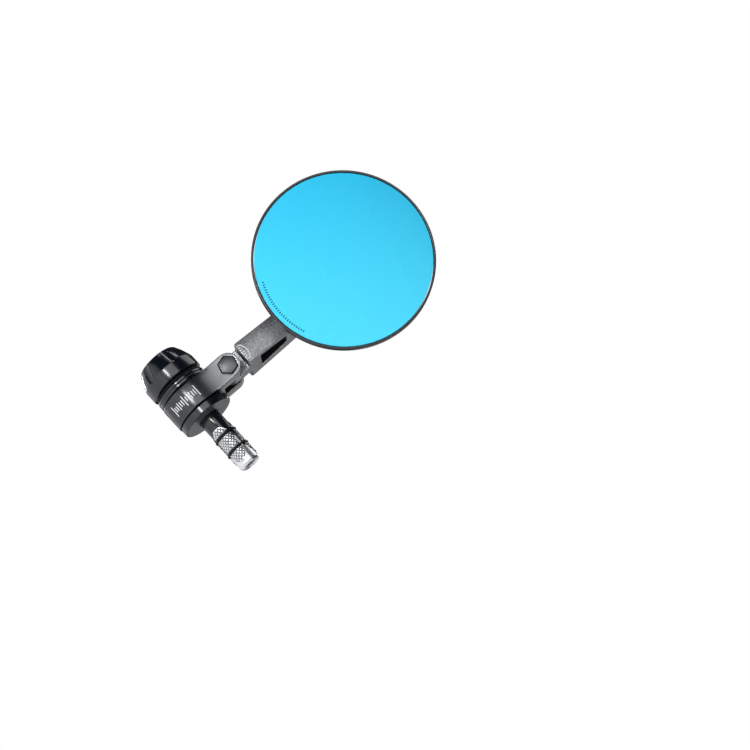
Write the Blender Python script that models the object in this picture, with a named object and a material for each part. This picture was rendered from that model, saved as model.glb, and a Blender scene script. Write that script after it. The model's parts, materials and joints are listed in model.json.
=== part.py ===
"""Bar-end mirror for a bicycle handlebar, left-hand side.

Frame, in metres: the origin is the centre of the handlebar's end face, +X runs into the
handlebar along its axis, +Z points up the arm to the mirror, and the glass faces -Y.
From the bar outwards the pieces are: an expander (three knurled jaws that a draw bolt
wedges against the bore), a flanged core, a clamp with two lugs that swings round the core,
an end knob, an arm hinged between the lugs, and a round mirror head on a ball stud.
"""
from math import acos, cos, pi, radians, sin, sqrt, tan

import bmesh
import bpy
from mathutils import Matrix, Vector

MM = 0.001
GAP = 0.3 * MM                      # clearance between neighbouring pieces

# Handlebar end
FLANGE_R = 15.5 * MM                # flange that bears on the end of the handlebar
FLANGE_T = 4.7 * MM
CORE_R = 12.0 * MM                  # journal that the clamp swings on
BOLT_R = 3.0 * MM                   # M6 draw bolt
BOLT_HOLE_R = BOLT_R + GAP
CLAMP_R = 16.0 * MM
CLAMP_W = 13.8 * MM                 # clamp's width along the bar
SPACER_R = 15.7 * MM
SPACER_W = 4.2 * MM
SEAL_R = 0.5 * MM
KNOB_R = 16.1 * MM
KNOB_W = 7.8 * MM                   # cylindrical stretch of the knob
KNOB_TAPER_W = 9.8 * MM
KNOB_FACE_R = 11.6 * MM
KNOB_RECESS_R = 6.3 * MM
KNOB_RECESS_DEPTH = 7.5 * MM
KNOB_FLUTES = 6
FLUTE_R = 4.5 * MM
FLUTE_DEPTH = 1.3 * MM
BOLT_HEAD_R = 5.0 * MM
BOLT_HEAD_T = 4.5 * MM
BOLT_SOCKET_AF = 5.0 * MM           # across the flats of the draw bolt's socket
BOLT_SOCKET_DEPTH = 2.8 * MM
BOLT_WASHER_R = 5.9 * MM
BOLT_WASHER_T = 0.8 * MM

# Expander inside the handlebar
SLEEVE_R = 6.25 * MM
SLEEVE_SEAT_DEPTH = 0.5 * MM        # shallow seat in the flange that centres the sleeve
JAW_R = 6.7 * MM                    # relaxed outside radius of the jaws
JAW_START = 9.1 * MM
JAW_END = 31.6 * MM
JAW_TIP_T = 0.25 * MM               # blunt edge left at a jaw's end
JAW_SLOT = 1.7 * MM                 # half the gap between two jaws
JAW_FLOOR = 3.6 * MM                # distance from the axis to a jaw's inner flat
WEDGE_ANGLE = radians(23.0)
SLEEVE_END = 15.2 * MM
SLEEVE_NECK_X = 12.6 * MM           # where the sleeve steps down to its neck
SLEEVE_NECK_R = 5.5 * MM
NUT_R = 6.3 * MM
NUT_START = 25.5 * MM
NUT_END = 34.9 * MM
O_RING_X = (14.1 * MM, 24.0 * MM)
O_RING_R = 6.5 * MM                 # to the middle of the cord
O_RING_CORD = 0.65 * MM

# Lugs and arm
PIVOT_Z = 25.3 * MM                 # hinge axis above the bar's axis
LUG_Y = 13.6 * MM                   # outer face of each lug
LUG_GAP = 4.7 * MM                  # inner face of each lug
LUG_END_R = CLAMP_W / 2
LUG_FLOOR_Z = 16.4 * MM
PIVOT_R = 2.5 * MM
HEX_AF = 9.2 * MM                   # across the flats of the pivot bolt's head
HEX_TURN = pi / 4                   # turn of that hexagon about the bolt's axis
HEX_POCKET = 3.6 * MM
PIVOT_CAP_R = 5.15 * MM
PIVOT_CAP_POCKET = 4.0 * MM
CAP_RISE = 1.3 * MM                 # how far a domed cap stands out
FRICTION_WASHER_R = 6.2 * MM
ARM_LENGTH = 83.3 * MM              # pivot to stud
ARM_HALF = 6.55 * MM                # half of the arm's width
TONGUE_Y = 3.5 * MM
SHOULDER = 9.4 * MM                 # pivot to the arm's shoulder
ARM_FRONT = (-13.3 * MM, -2.2 * MM)  # front face at the shoulder and at the stud
ARM_BACK = (13.0 * MM, 8.65 * MM)
POCKET_DEPTH = 5.0 * MM             # of the arm's side pockets
POCKET_ROUND = 0.9 * MM
POCKET_WALL = 1.8 * MM              # between the upper pocket and the arm's front
LOWER_POCKET_Z = (17.3 * MM, 35.6 * MM)     # above the pivot
LOWER_POCKET_FRONT = (-8.3 * MM, -5.0 * MM)
LOWER_POCKET_BACK = (6.4 * MM, 3.4 * MM)
UPPER_POCKET_Z = (41.0 * MM, 73.0 * MM)
UPPER_POCKET_BACK = (6.2 * MM, 5.4 * MM)
STUD_R = 3.0 * MM
STUD_NECK_R = 3.2 * MM
STUD_COLLAR_R = 4.9 * MM
STUD_COLLAR_Y = (-4.2 * MM, -2.3 * MM)
STUD_WASHER_Y = (-2.0 * MM, -1.5 * MM)
STUD_SEAT_Y = (-1.2 * MM, 6.6 * MM)         # floors of the front seat and of the cap's seat
STUD_SEAT_R = 5.2 * MM
STUD_END_Y = 8.0 * MM
STUD_CAP_R = 5.0 * MM
STUD_CAP_Y = (6.9 * MM, 8.9 * MM, 10.3 * MM)    # base, end of the wall and top of the dome

# Mirror head, with w measured from the ball's centre towards the arm
BALL_Y = -15.8 * MM
BALL_R = 7.0 * MM
HEAD_TURN = radians(6.5)            # rest position of the head about +Z
HEAD_R = 50.0 * MM
RIM_FRONT_W = -13.0 * MM
RIM_BACK_W = -8.5 * MM
GLASS_R = 48.4 * MM
GLASS_BACK_W = -10.6 * MM
GLASS_INSET = 0.6 * MM              # glass edge below the rim's front
GLASS_BULGE = 1.0 * MM
SCALE_RING_R = 35.4 * MM
CONE_R = 27.9 * MM
CONE_EDGE_W = -1.3 * MM
SHELL_W = -4.2 * MM                 # flat middle of the rear shell
SHELL_T = 1.8 * MM
BOSS_R = 19.3 * MM                  # cone's boss, which passes through the shell
BOSS_BORE_R = 12.2 * MM
BOSS_W = -7.6 * MM
PLATE_R = 18.0 * MM
PLATE_W = (-9.3 * MM, -7.9 * MM)
HUB_R = 15.9 * MM
HUB_W = 6.5 * MM
HUB_HOLE_R = 8.8 * MM
SEAT_R = 8.9 * MM                   # spherical seat round the liner
SEAT_SPLIT_W = 1.0 * MM             # where the hub cap meets the inner seat
SEAT_END_W = -5.4 * MM
SEAT_BACK_W = -6.0 * MM
LINER_W = (-5.0 * MM, 5.2 * MM)
LINER_OUT = 8.6 * MM
LINER_IN = 7.3 * MM
SCREW_CIRCLE_R = 15.7 * MM
SCREW_R = 1.0 * MM
SCREW_HOLE_R = 1.3 * MM
SCREW_HEAD_R = 2.2 * MM
SCREW_W = (-10.3 * MM, -9.6 * MM, -3.4 * MM)    # head, underside of the head, tip
SCREWS = 3

# Places that follow from the sizes
CLAMP_X1 = -FLANGE_T - GAP
CLAMP_X0 = CLAMP_X1 - CLAMP_W
PIVOT_X = (CLAMP_X0 + CLAMP_X1) / 2
CORE_END = CLAMP_X0 - GAP
SPACER_X1 = CORE_END - GAP
SPACER_X0 = SPACER_X1 - SPACER_W
SEAL_X = SPACER_X0 - GAP - SEAL_R
KNOB_X1 = SEAL_X - SEAL_R - GAP
KNOB_X2 = KNOB_X1 - KNOB_W
KNOB_X3 = KNOB_X2 - KNOB_TAPER_W
STUD_Z = PIVOT_Z + ARM_LENGTH
WEDGE_GAP = GAP / cos(WEDGE_ANGLE)

FINE = 32                           # facets round the large turned pieces
COARSE = 20

MATERIALS = {
    "black_gloss": ((0.012, 0.012, 0.014), 0.22, 0.6),
    "black_satin": ((0.045, 0.047, 0.052), 0.38, 0.8),
    "arm_grey": ((0.075, 0.078, 0.084), 0.55, 0.8),
    "bright_steel": ((0.72, 0.73, 0.74), 0.28, 1.0),
    "dark_steel": ((0.09, 0.09, 0.10), 0.25, 1.0),
    "grooved_silver": ((0.48, 0.50, 0.53), 0.30, 1.0),
    "ring_grey": ((0.19, 0.19, 0.20), 0.5, 0.5),
    "cone_dark": ((0.10, 0.105, 0.11), 0.18, 1.0),
    "rubber": ((0.012, 0.012, 0.012), 0.7, 0.0),
    "liner": ((0.02, 0.02, 0.022), 0.4, 0.0),
    "foam": ((0.03, 0.03, 0.03), 0.9, 0.0),
    "blue_glass": ((0.06, 0.50, 0.85), 0.05, 0.9),
}


def material(name):
    """The named material, made on first use."""
    if name in bpy.data.materials:
        return bpy.data.materials[name]
    colour, roughness, metallic = MATERIALS[name]
    m = bpy.data.materials.new(name)
    m.use_nodes = True
    shader = m.node_tree.nodes["Principled BSDF"]
    shader.inputs["Base Color"].default_value = (*colour, 1.0)
    shader.inputs["Roughness"].default_value = roughness
    shader.inputs["Metallic"].default_value = metallic
    return m


def make_object(name, bm, surface=None, parent=None, place=None):
    """Turn a bmesh into an object; a piece with no surface is a hidden cutter."""
    bmesh.ops.recalc_face_normals(bm, faces=bm.faces)
    mesh = bpy.data.meshes.new(name)
    bm.to_mesh(mesh)
    bm.free()
    obj = bpy.data.objects.new(name, mesh)
    bpy.context.scene.collection.objects.link(obj)
    if surface:
        mesh.materials.append(material(surface))
        mesh.shade_smooth()
        mesh.set_sharp_from_angle(angle=radians(30))
    else:
        obj.hide_render = True
        obj.display_type = "WIRE"
    obj.parent = parent
    if place is not None:
        obj.matrix_local = place
    return obj


def along_x(x=0.0, y=0.0, z=0.0):
    """Placement that lays a turned piece's axis along +X."""
    return Matrix.Translation((x, y, z)) @ Matrix.Rotation(pi / 2, 4, "Y")


def along_y(x=0.0, y=0.0, z=0.0):
    """Placement that lays a turned piece's axis along +Y."""
    return Matrix.Translation((x, y, z)) @ Matrix.Rotation(-pi / 2, 4, "X")


def spun(profile, steps):
    """Spin an outline of (radius, height) points about +Z into a closed body."""
    bm = bmesh.new()
    ring = [bm.verts.new((r, 0.0, h)) for r, h in profile]
    edges = [bm.edges.new(pair) for pair in zip(ring, ring[1:])]
    if profile[0][0] > 0.0 or profile[-1][0] > 0.0:
        edges.append(bm.edges.new((ring[-1], ring[0])))
    bmesh.ops.spin(bm, geom=ring + edges, cent=(0, 0, 0), axis=(0, 0, 1),
                   angle=2 * pi, steps=steps, use_merge=True)
    bmesh.ops.remove_doubles(bm, verts=bm.verts, dist=1e-6)
    bmesh.ops.dissolve_degenerate(bm, edges=bm.edges, dist=1e-7)
    return bm


def turned(name, profile, surface, place, steps=FINE, parent=None):
    """A turned piece from its (radius, height) outline."""
    return make_object(name, spun(profile, steps), surface, parent, place)


def ring_profile(inner, outer, start, end, edge=0.0):
    """Outline of a ring; edge is the chamfer on its outer corners."""
    if edge:
        outside = [(outer - edge, start), (outer, start + edge), (outer, end - edge),
                   (outer - edge, end)]
    else:
        outside = [(outer, start), (outer, end)]
    return [(inner, start), *outside, (inner, end)]


def arc(radius, start, end, count, centre=(0.0, 0.0)):
    """Points on an arc between two angles, both ends included."""
    angles = [start + (end - start) * i / (count - 1) for i in range(count)]
    return [(centre[0] + radius * cos(a), centre[1] + radius * sin(a)) for a in angles]


def sphere_profile(radius, w0, w1, count):
    """(radius, height) points along a sphere between two heights."""
    a0, a1 = acos(w0 / radius), acos(w1 / radius)
    return [(radius * sin(a0 + (a1 - a0) * i / (count - 1)),
             radius * cos(a0 + (a1 - a0) * i / (count - 1))) for i in range(count)]


def extruded(outline, start, end, axes):
    """Extrude a 2-D outline; axes names its two directions, such as 'YZ'."""
    bm = bmesh.new()
    along = ({"X", "Y", "Z"} - set(axes)).pop()

    def point(u, v, d):
        return Vector([{axes[0]: u, axes[1]: v, along: d}[k] for k in "XYZ"])
    face = bm.faces.new([bm.verts.new(point(u, v, start)) for u, v in outline])
    top = bmesh.ops.extrude_face_region(bm, geom=[face])["geom"]
    shift = point(0.0, 0.0, end - start)
    bmesh.ops.translate(bm, verts=[v for v in top if isinstance(v, bmesh.types.BMVert)], vec=shift)
    return bm


def cylinder_cutter(name, radius, start, end, place, steps=COARSE, parent=None):
    """A hidden solid cylinder along the placement's axis."""
    return turned(name, [(0.0, start), (radius, start), (radius, end), (0.0, end)],
                  None, place, steps, parent)


def stepped_cutter(name, steps, place):
    """A hidden turned cutter; each step is (radius, where it ends), from the low end up."""
    profile = [(0.0, -2 * LUG_Y)]
    start = -2 * LUG_Y
    for radius, end in steps:
        profile += [(radius, start), (radius, end)]
        start = end
    return turned(name, profile + [(0.0, start)], None, place, COARSE)


def boolean(obj, cutter, operation="DIFFERENCE"):
    """Cut obj with cutter, or keep only what both share."""
    m = obj.modifiers.new(cutter.name, "BOOLEAN")
    m.operation = operation
    m.object = cutter
    m.solver = "EXACT"


def slice_off(bm, point, normal):
    """Remove what lies beyond a plane, on its normal's side, and close the cut."""
    geom = bm.verts[:] + bm.edges[:] + bm.faces[:]
    cut = bmesh.ops.bisect_plane(bm, geom=geom, dist=1e-7, plane_co=point, plane_no=normal,
                                 clear_outer=True)["geom_cut"]
    bmesh.ops.contextual_create(bm, geom=[e for e in cut if isinstance(e, bmesh.types.BMEdge)])


def jaw_direction(index):
    """Outward direction of a jaw in the YZ plane."""
    angle = radians(-24.0) + index * 2 * pi / 3
    return Vector((0.0, -cos(angle), sin(angle)))


# ---------------------------------------------------------------- handlebar end

def make_core():
    """Flange and journal in one piece: it bears on the handlebar's end."""
    edge = 0.7 * MM
    seat_r = SLEEVE_R + GAP
    profile = [(BOLT_HOLE_R, CORE_END), (CORE_R, CORE_END), (CORE_R, -FLANGE_T),
               (FLANGE_R - edge, -FLANGE_T), (FLANGE_R, -FLANGE_T + edge), (FLANGE_R, -edge),
               (FLANGE_R - edge, 0.0), (seat_r, 0.0), (seat_r, -SLEEVE_SEAT_DEPTH),
               (BOLT_HOLE_R, -SLEEVE_SEAT_DEPTH)]
    turned("flanged_core", profile, "black_gloss", along_x())


def make_spacer():
    """Ring and thin seal between the clamp and the knob."""
    turned("spacer_ring", ring_profile(BOLT_HOLE_R, SPACER_R, SPACER_X0, SPACER_X1, 0.6 * MM),
           "black_gloss", along_x())
    seal = arc(SEAL_R, 0.0, 2 * pi, 7, (SPACER_R - 1.1 * MM, SEAL_X))[:-1]
    turned("knob_seal", seal, "rubber", along_x(), COARSE)


def make_knob():
    """Fluted end knob with a recess for the draw bolt's head."""
    edge = 0.8 * MM
    floor = KNOB_X3 + KNOB_RECESS_DEPTH
    profile = [(BOLT_HOLE_R, KNOB_X1), (KNOB_R - 2 * edge, KNOB_X1), (KNOB_R, KNOB_X1 - edge),
               (KNOB_R, KNOB_X2), (KNOB_FACE_R + edge, KNOB_X3 + edge),
               (KNOB_FACE_R, KNOB_X3), (KNOB_RECESS_R + edge / 2, KNOB_X3),
               (KNOB_RECESS_R, KNOB_X3 + edge / 2), (KNOB_RECESS_R, floor), (BOLT_HOLE_R, floor)]
    knob = turned("end_knob", profile, "black_gloss", along_x())
    slope = Vector((KNOB_X3 - KNOB_X2, 0.0, KNOB_FACE_R + edge - KNOB_R)).normalized()
    outward = Vector((slope.z, 0.0, -slope.x))
    start = Vector((KNOB_X2 - 1.5 * MM, 0.0, KNOB_R)) + outward * (FLUTE_R - FLUTE_DEPTH)
    capsule = [(0.0, -FLUTE_R)] + [(r, h) for r, h in arc(FLUTE_R, -pi / 2, 0.0, 6)][1:] \
        + [(FLUTE_R, 2 * KNOB_TAPER_W), (0.0, 2 * KNOB_TAPER_W)]
    for i in range(KNOB_FLUTES):
        turn = Matrix.Rotation(radians(12.0) + i * 2 * pi / KNOB_FLUTES, 4, "X")
        lay = slope.to_track_quat("Z", "Y").to_matrix().to_4x4()
        place = turn @ Matrix.Translation(start) @ lay
        boolean(knob, turned(f"flute_cutter_{i}", capsule, None, place, 16))


def hexagon(across_flats, turn=0.0):
    """Corners of a hexagon."""
    corner = across_flats / sqrt(3.0)
    return [(corner * cos(turn + i * pi / 3), corner * sin(turn + i * pi / 3)) for i in range(6)]


def make_draw_bolt():
    """Socket-head bolt from the knob to the wedge nut, with its washer."""
    floor = KNOB_X3 + KNOB_RECESS_DEPTH
    washer_x = floor - GAP - BOLT_WASHER_T
    turned("bolt_washer", ring_profile(BOLT_HOLE_R, BOLT_WASHER_R, washer_x, floor - GAP),
           "dark_steel", along_x(), COARSE)
    head_x1 = washer_x - GAP
    head_x0 = head_x1 - BOLT_HEAD_T
    edge = 0.4 * MM
    tip = NUT_END - 1.3 * MM
    profile = [(0.0, head_x0), (BOLT_HEAD_R - edge, head_x0), (BOLT_HEAD_R, head_x0 + edge),
               (BOLT_HEAD_R, head_x1), (BOLT_R, head_x1), (BOLT_R, tip - edge),
               (BOLT_R - edge, tip), (0.0, tip)]
    bolt = turned("draw_bolt", profile, "dark_steel", along_x(), COARSE)
    socket = extruded(hexagon(BOLT_SOCKET_AF), head_x0 - MM, head_x0 + BOLT_SOCKET_DEPTH, "YZ")
    boolean(bolt, make_object("socket_cutter", socket))


def make_wedge_sleeve():
    """Fixed wedge: a tube with three sloping flats under the jaws' outer ends."""
    start = -SLEEVE_SEAT_DEPTH + GAP
    profile = [(BOLT_HOLE_R, start), (SLEEVE_R, start), (SLEEVE_R, SLEEVE_NECK_X),
               (SLEEVE_NECK_R, SLEEVE_NECK_X), (SLEEVE_NECK_R, SLEEVE_END),
               (BOLT_HOLE_R, SLEEVE_END)]
    bm = spun(profile, FINE)
    bm.transform(along_x())
    for i in range(3):
        out = jaw_direction(i)
        point = Vector((JAW_START, 0, 0)) + out * (JAW_R - JAW_TIP_T - WEDGE_GAP)
        slice_off(bm, point, out + Vector((tan(WEDGE_ANGLE), 0, 0)))
    make_object("wedge_sleeve", bm, "black_gloss")


def make_wedge_nut():
    """Moving wedge at the tip: the draw bolt pulls it towards the sleeve."""
    edge = 0.9 * MM
    profile = [(BOLT_HOLE_R, NUT_START), (NUT_R, NUT_START), (NUT_R, NUT_END - edge),
               (NUT_R - edge, NUT_END), (BOLT_HOLE_R, NUT_END)]
    bm = spun(profile, FINE)
    bm.transform(along_x())
    for i in range(3):
        out = jaw_direction(i)
        point = Vector((JAW_END, 0, 0)) + out * (JAW_R - JAW_TIP_T - WEDGE_GAP)
        slice_off(bm, point, out - Vector((tan(WEDGE_ANGLE), 0, 0)))
    make_object("wedge_nut", bm, "bright_steel")


def make_jaws():
    """Three jaws with sloping ends and two grooves for the O-rings."""
    side = Vector((JAW_SLOT * sin(pi / 3), -JAW_SLOT * cos(pi / 3)))
    reach = sqrt(JAW_R ** 2 - JAW_SLOT ** 2)
    corner = side + reach * Vector((cos(pi / 3), sin(pi / 3)))
    half = corner.angle(Vector((1, 0)))
    inner = side.y + (JAW_FLOOR - side.x) * tan(pi / 3)
    outline = [(JAW_FLOOR, -inner)] + arc(JAW_R, -half, half, 11) + [(JAW_FLOOR, inner)]
    for i in range(3):
        out = jaw_direction(i)
        across = out.cross(Vector((1, 0, 0)))
        bm = extruded(outline, JAW_START, JAW_END, "YZ")
        basis = Matrix((Vector((1, 0, 0)), out, across)).transposed().to_4x4()
        bm.transform(basis)
        for x, sign in ((JAW_START, 1), (JAW_END, -1)):
            point = Vector((x, 0, 0)) + out * (JAW_R - JAW_TIP_T)
            slice_off(bm, point, -out - Vector((sign * tan(WEDGE_ANGLE), 0, 0)))
        jaw = make_object(f"jaw_{i + 1}", bm, "bright_steel")
        for cutter in groove_cutters():
            boolean(jaw, cutter)


def groove_cutters():
    """One cutter for each O-ring groove, shared by the jaws."""
    names = ["groove_cutter_inner", "groove_cutter_outer"]
    half = O_RING_CORD + GAP
    floor = O_RING_R - O_RING_CORD - GAP
    for name, x in zip(names, O_RING_X):
        if name not in bpy.data.objects:
            turned(name, ring_profile(floor, 2 * O_RING_R, x - half, x + half), None, along_x())
    return [bpy.data.objects[name] for name in names]


def make_o_rings():
    """Two rubber rings that hold the jaws together."""
    for name, x in zip(("o_ring_inner", "o_ring_outer"), O_RING_X):
        section = arc(O_RING_CORD, 0.0, 2 * pi, 9, (O_RING_R, x))[:-1]
        turned(name, section, "rubber", along_x(), COARSE)


# ---------------------------------------------------------------- clamp and hinge

def end_rounding(name, half, z0, z1, round_low, round_high):
    """Solid outline in the XZ plane with round ends, used to trim the lugs and the arm."""
    low = arc(half, pi, 2 * pi, 17, (PIVOT_X, z0)) if round_low else \
        [(PIVOT_X - half, z0), (PIVOT_X + half, z0)]
    high = arc(half, 0.0, pi, 17, (PIVOT_X, z1)) if round_high else \
        [(PIVOT_X + half, z1), (PIVOT_X - half, z1)]
    return make_object(name, extruded(low + high, -2 * LUG_Y, 2 * LUG_Y, "XZ"))


def make_clamp():
    """Ring round the core with two lugs for the hinge."""
    start = acos(LUG_Y / CLAMP_R)
    top = PIVOT_Z + LUG_END_R + MM
    outline = [(LUG_Y, top), (-LUG_Y, top)] + arc(CLAMP_R, pi - start, 2 * pi + start, FINE - 9)
    blank = extruded(outline, CLAMP_X0 - CLAMP_W, CLAMP_X1 + CLAMP_W, "YZ")
    clamp = make_object("clamp_ring", blank, "black_satin")
    boolean(clamp, end_rounding("lug_trim", LUG_END_R, -2 * CLAMP_R, PIVOT_Z, False, True),
            "INTERSECT")
    boolean(clamp, cylinder_cutter("core_cutter", CORE_R + GAP, CLAMP_X0 - MM, CLAMP_X1 + MM,
                                   along_x(), FINE))
    slot = [(-LUG_GAP, LUG_FLOOR_Z), (LUG_GAP, LUG_FLOOR_Z), (LUG_GAP, 2 * PIVOT_Z),
            (-LUG_GAP, 2 * PIVOT_Z)]
    boolean(clamp, make_object("slot_cutter", extruded(slot, 2 * CLAMP_X0, MM, "YZ")))
    pivot = along_y(PIVOT_X, 0.0, PIVOT_Z)
    steps = [(PIVOT_R + GAP, LUG_Y - PIVOT_CAP_POCKET), (PIVOT_CAP_R + 0.35 * MM, 2 * LUG_Y)]
    boolean(clamp, stepped_cutter("pivot_hole_cutter", steps, pivot))
    pocket = [(PIVOT_X + u, PIVOT_Z + v) for u, v in hexagon(HEX_AF + 2 * GAP + 0.1 * MM, HEX_TURN)]
    boolean(clamp, make_object("hex_pocket_cutter",
                               extruded(pocket, -2 * LUG_Y, -LUG_Y + HEX_POCKET, "XZ")))


def dome_profile(radius, bore, base, wall, top, bore_top):
    """Outline of a domed cap with a blind bore, from its base to its top."""
    rise = top - wall
    points = [(radius * cos(a), wall + rise * sin(a)) for a in [i * pi / 12 for i in range(7)]]
    points[-1] = (0.0, top)
    return [(0.0, bore_top), (bore, bore_top), (bore, base), (radius, base)] + points


def make_hinge():
    """Pivot bolt with a hexagon head, its domed cap and two friction washers."""
    head_y = -LUG_Y + HEX_POCKET - GAP
    pivot = along_y(PIVOT_X, 0.0, PIVOT_Z)
    cap_base = LUG_Y - PIVOT_CAP_POCKET + GAP
    outline = [(PIVOT_X + u, PIVOT_Z + v) for u, v in hexagon(HEX_AF, HEX_TURN)]
    bolt = make_object("pivot_bolt", extruded(outline, -LUG_Y - 0.5 * MM, head_y, "XZ"), "arm_grey")
    shank = cylinder_cutter("shank_shape", PIVOT_R, head_y - MM, cap_base + 1.7 * MM, pivot)
    boolean(bolt, shank, "UNION")
    profile = dome_profile(PIVOT_CAP_R, PIVOT_R + GAP, cap_base, LUG_Y - GAP,
                           LUG_Y + CAP_RISE, cap_base + 2.1 * MM)
    turned("pivot_cap", profile, "dark_steel", pivot, COARSE)
    washer = TONGUE_Y + GAP
    for name, side in (("friction_washer_front", -1), ("friction_washer_rear", 1)):
        near, far = sorted((side * washer, side * (LUG_GAP - GAP)))
        turned(name, ring_profile(PIVOT_R + GAP, FRICTION_WASHER_R, near, far), "bright_steel",
               pivot, COARSE)


# ---------------------------------------------------------------- arm

def arm_face(ends, z):
    """Y of the arm's front or back face at a height above the pivot."""
    share = (z - SHOULDER) / (ARM_LENGTH - SHOULDER)
    return ends[0] + (ends[1] - ends[0]) * share


def arm_pocket(name, ends, front, back):
    """Cutters for one pocket on both sides; front and back are its walls at both ends."""
    outline = [(front[0], ends[0]), (back[0], ends[0]), (back[1], ends[1]), (front[1], ends[1])]
    outline = [(y, PIVOT_Z + z) for y, z in outline]
    for side in (-1, 1):
        outer = PIVOT_X + side * 2 * ARM_HALF
        inner = PIVOT_X + side * (ARM_HALF - POCKET_DEPTH)
        bm = extruded(outline, min(outer, inner), max(outer, inner), "YZ")
        upright = [e for e in bm.edges if abs((e.verts[0].co - e.verts[1].co).x) > MM]
        bmesh.ops.bevel(bm, geom=upright, offset=POCKET_ROUND, segments=2, affect="EDGES",
                        profile=0.5, clamp_overlap=True)
        label = "left" if side < 0 else "right"
        yield make_object(f"{name}_{label}_cutter", bm)


def make_arm():
    """Tapered arm with a tongue at the hinge and pockets along both sides."""
    end = ARM_LENGTH + 2 * ARM_HALF
    edge = 0.8 * MM
    outline = [(-TONGUE_Y, -2 * ARM_HALF), (TONGUE_Y, -2 * ARM_HALF), (TONGUE_Y, SHOULDER),
               (ARM_BACK[0] - edge, SHOULDER), (ARM_BACK[0], SHOULDER + edge),
               (arm_face(ARM_BACK, end), end), (arm_face(ARM_FRONT, end), end),
               (ARM_FRONT[0], SHOULDER + edge), (ARM_FRONT[0] + edge, SHOULDER),
               (-TONGUE_Y, SHOULDER)]
    outline = [(y, PIVOT_Z + z) for y, z in outline]
    bm = extruded(outline, PIVOT_X - 2 * ARM_HALF, PIVOT_X + 2 * ARM_HALF, "YZ")
    arm = make_object("arm", bm, "arm_grey")
    boolean(arm, end_rounding("arm_trim", ARM_HALF, PIVOT_Z, STUD_Z, True, True), "INTERSECT")
    upper_front = [arm_face(ARM_FRONT, z) + POCKET_WALL for z in UPPER_POCKET_Z]
    lower = arm_pocket("lower_pocket", LOWER_POCKET_Z, LOWER_POCKET_FRONT, LOWER_POCKET_BACK)
    upper = arm_pocket("upper_pocket", UPPER_POCKET_Z, upper_front, UPPER_POCKET_BACK)
    for cutter in (*lower, *upper):
        boolean(arm, cutter)
    pivot = along_y(PIVOT_X, 0.0, PIVOT_Z)
    stud = along_y(PIVOT_X, 0.0, STUD_Z)
    boolean(arm, stepped_cutter("tongue_hole_cutter", [(PIVOT_R + GAP, 2 * LUG_Y)], pivot))
    steps = [(STUD_SEAT_R, STUD_SEAT_Y[0]), (STUD_R + GAP, STUD_SEAT_Y[1]),
             (STUD_CAP_R + GAP, 2 * LUG_Y)]
    boolean(arm, stepped_cutter("stud_hole_cutter", steps, stud))


def make_stud():
    """Ball stud through the arm's end, its washer and its domed cap."""
    ball = sphere_profile(BALL_R, -BALL_R, sqrt(BALL_R ** 2 - STUD_NECK_R ** 2), 10)
    ball[0] = (0.0, -BALL_R)
    collar_w = [y - BALL_Y for y in STUD_COLLAR_Y]
    end_w = STUD_END_Y - BALL_Y
    profile = ball + [(STUD_NECK_R, collar_w[0]), (STUD_COLLAR_R, collar_w[0]),
                      (STUD_COLLAR_R, collar_w[1]), (STUD_R, collar_w[1]), (STUD_R, end_w),
                      (0.0, end_w)]
    turned("ball_stud", profile, "dark_steel", along_y(PIVOT_X, BALL_Y, STUD_Z), COARSE)
    place = along_y(PIVOT_X, 0.0, STUD_Z)
    turned("stud_washer", ring_profile(STUD_R + GAP, STUD_COLLAR_R, *STUD_WASHER_Y),
           "bright_steel", place, COARSE)
    base, wall, top = STUD_CAP_Y
    profile = dome_profile(STUD_CAP_R, STUD_R + GAP, base, wall, top, STUD_END_Y + 0.4 * MM)
    turned("stud_cap", profile, "dark_steel", place, COARSE)


# ---------------------------------------------------------------- mirror head

def make_head():
    """Everything that tilts on the ball, from the liner to the glass."""
    head = bpy.data.objects.new("head_frame", None)
    bpy.context.scene.collection.objects.link(head)
    head.location = (PIVOT_X, BALL_Y, STUD_Z)
    head.rotation_euler = (0.0, 0.0, HEAD_TURN)

    def part(name, profile, surface, steps=FINE):
        return turned(name, profile, surface, along_y(), steps, head)

    make_socket(part)
    make_rear(part)
    make_front(part)
    add_retaining_screws(head)


def make_socket(part):
    """Liner, seat and spring that hold the ball, inside the hub."""
    liner = sphere_profile(LINER_OUT, LINER_W[0], LINER_W[1], 6) \
        + sphere_profile(LINER_IN, LINER_W[1], LINER_W[0], 6)
    part("ball_liner", liner, "liner", COARSE)
    seat = sphere_profile(SEAT_R, SEAT_SPLIT_W - GAP, SEAT_END_W, 5)
    mouth = sqrt(SEAT_R ** 2 - SEAT_END_W ** 2)
    outside = BOSS_BORE_R - GAP
    part("ball_seat", [(outside, SEAT_BACK_W), (outside, SEAT_SPLIT_W - GAP), *seat,
                       (mouth, SEAT_BACK_W)], "bright_steel", COARSE)
    edge = 0.4 * MM
    part("hub_cap", [(HUB_R, SEAT_SPLIT_W), (HUB_R, HUB_W - edge), (HUB_R - edge, HUB_W),
                     (HUB_HOLE_R, HUB_W), *sphere_profile(SEAT_R, LINER_W[1], SEAT_SPLIT_W, 5)],
         "ring_grey")
    part("seat_spring", ring_profile(8.2 * MM, BOSS_BORE_R - 2 * GAP, BOSS_W, SEAT_BACK_W - GAP),
         "bright_steel", COARSE)
    part("retaining_plate", [(0.0, PLATE_W[0]), (PLATE_R, PLATE_W[0]), (PLATE_R, PLATE_W[1]),
                             (0.0, PLATE_W[1])], "black_satin")


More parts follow.
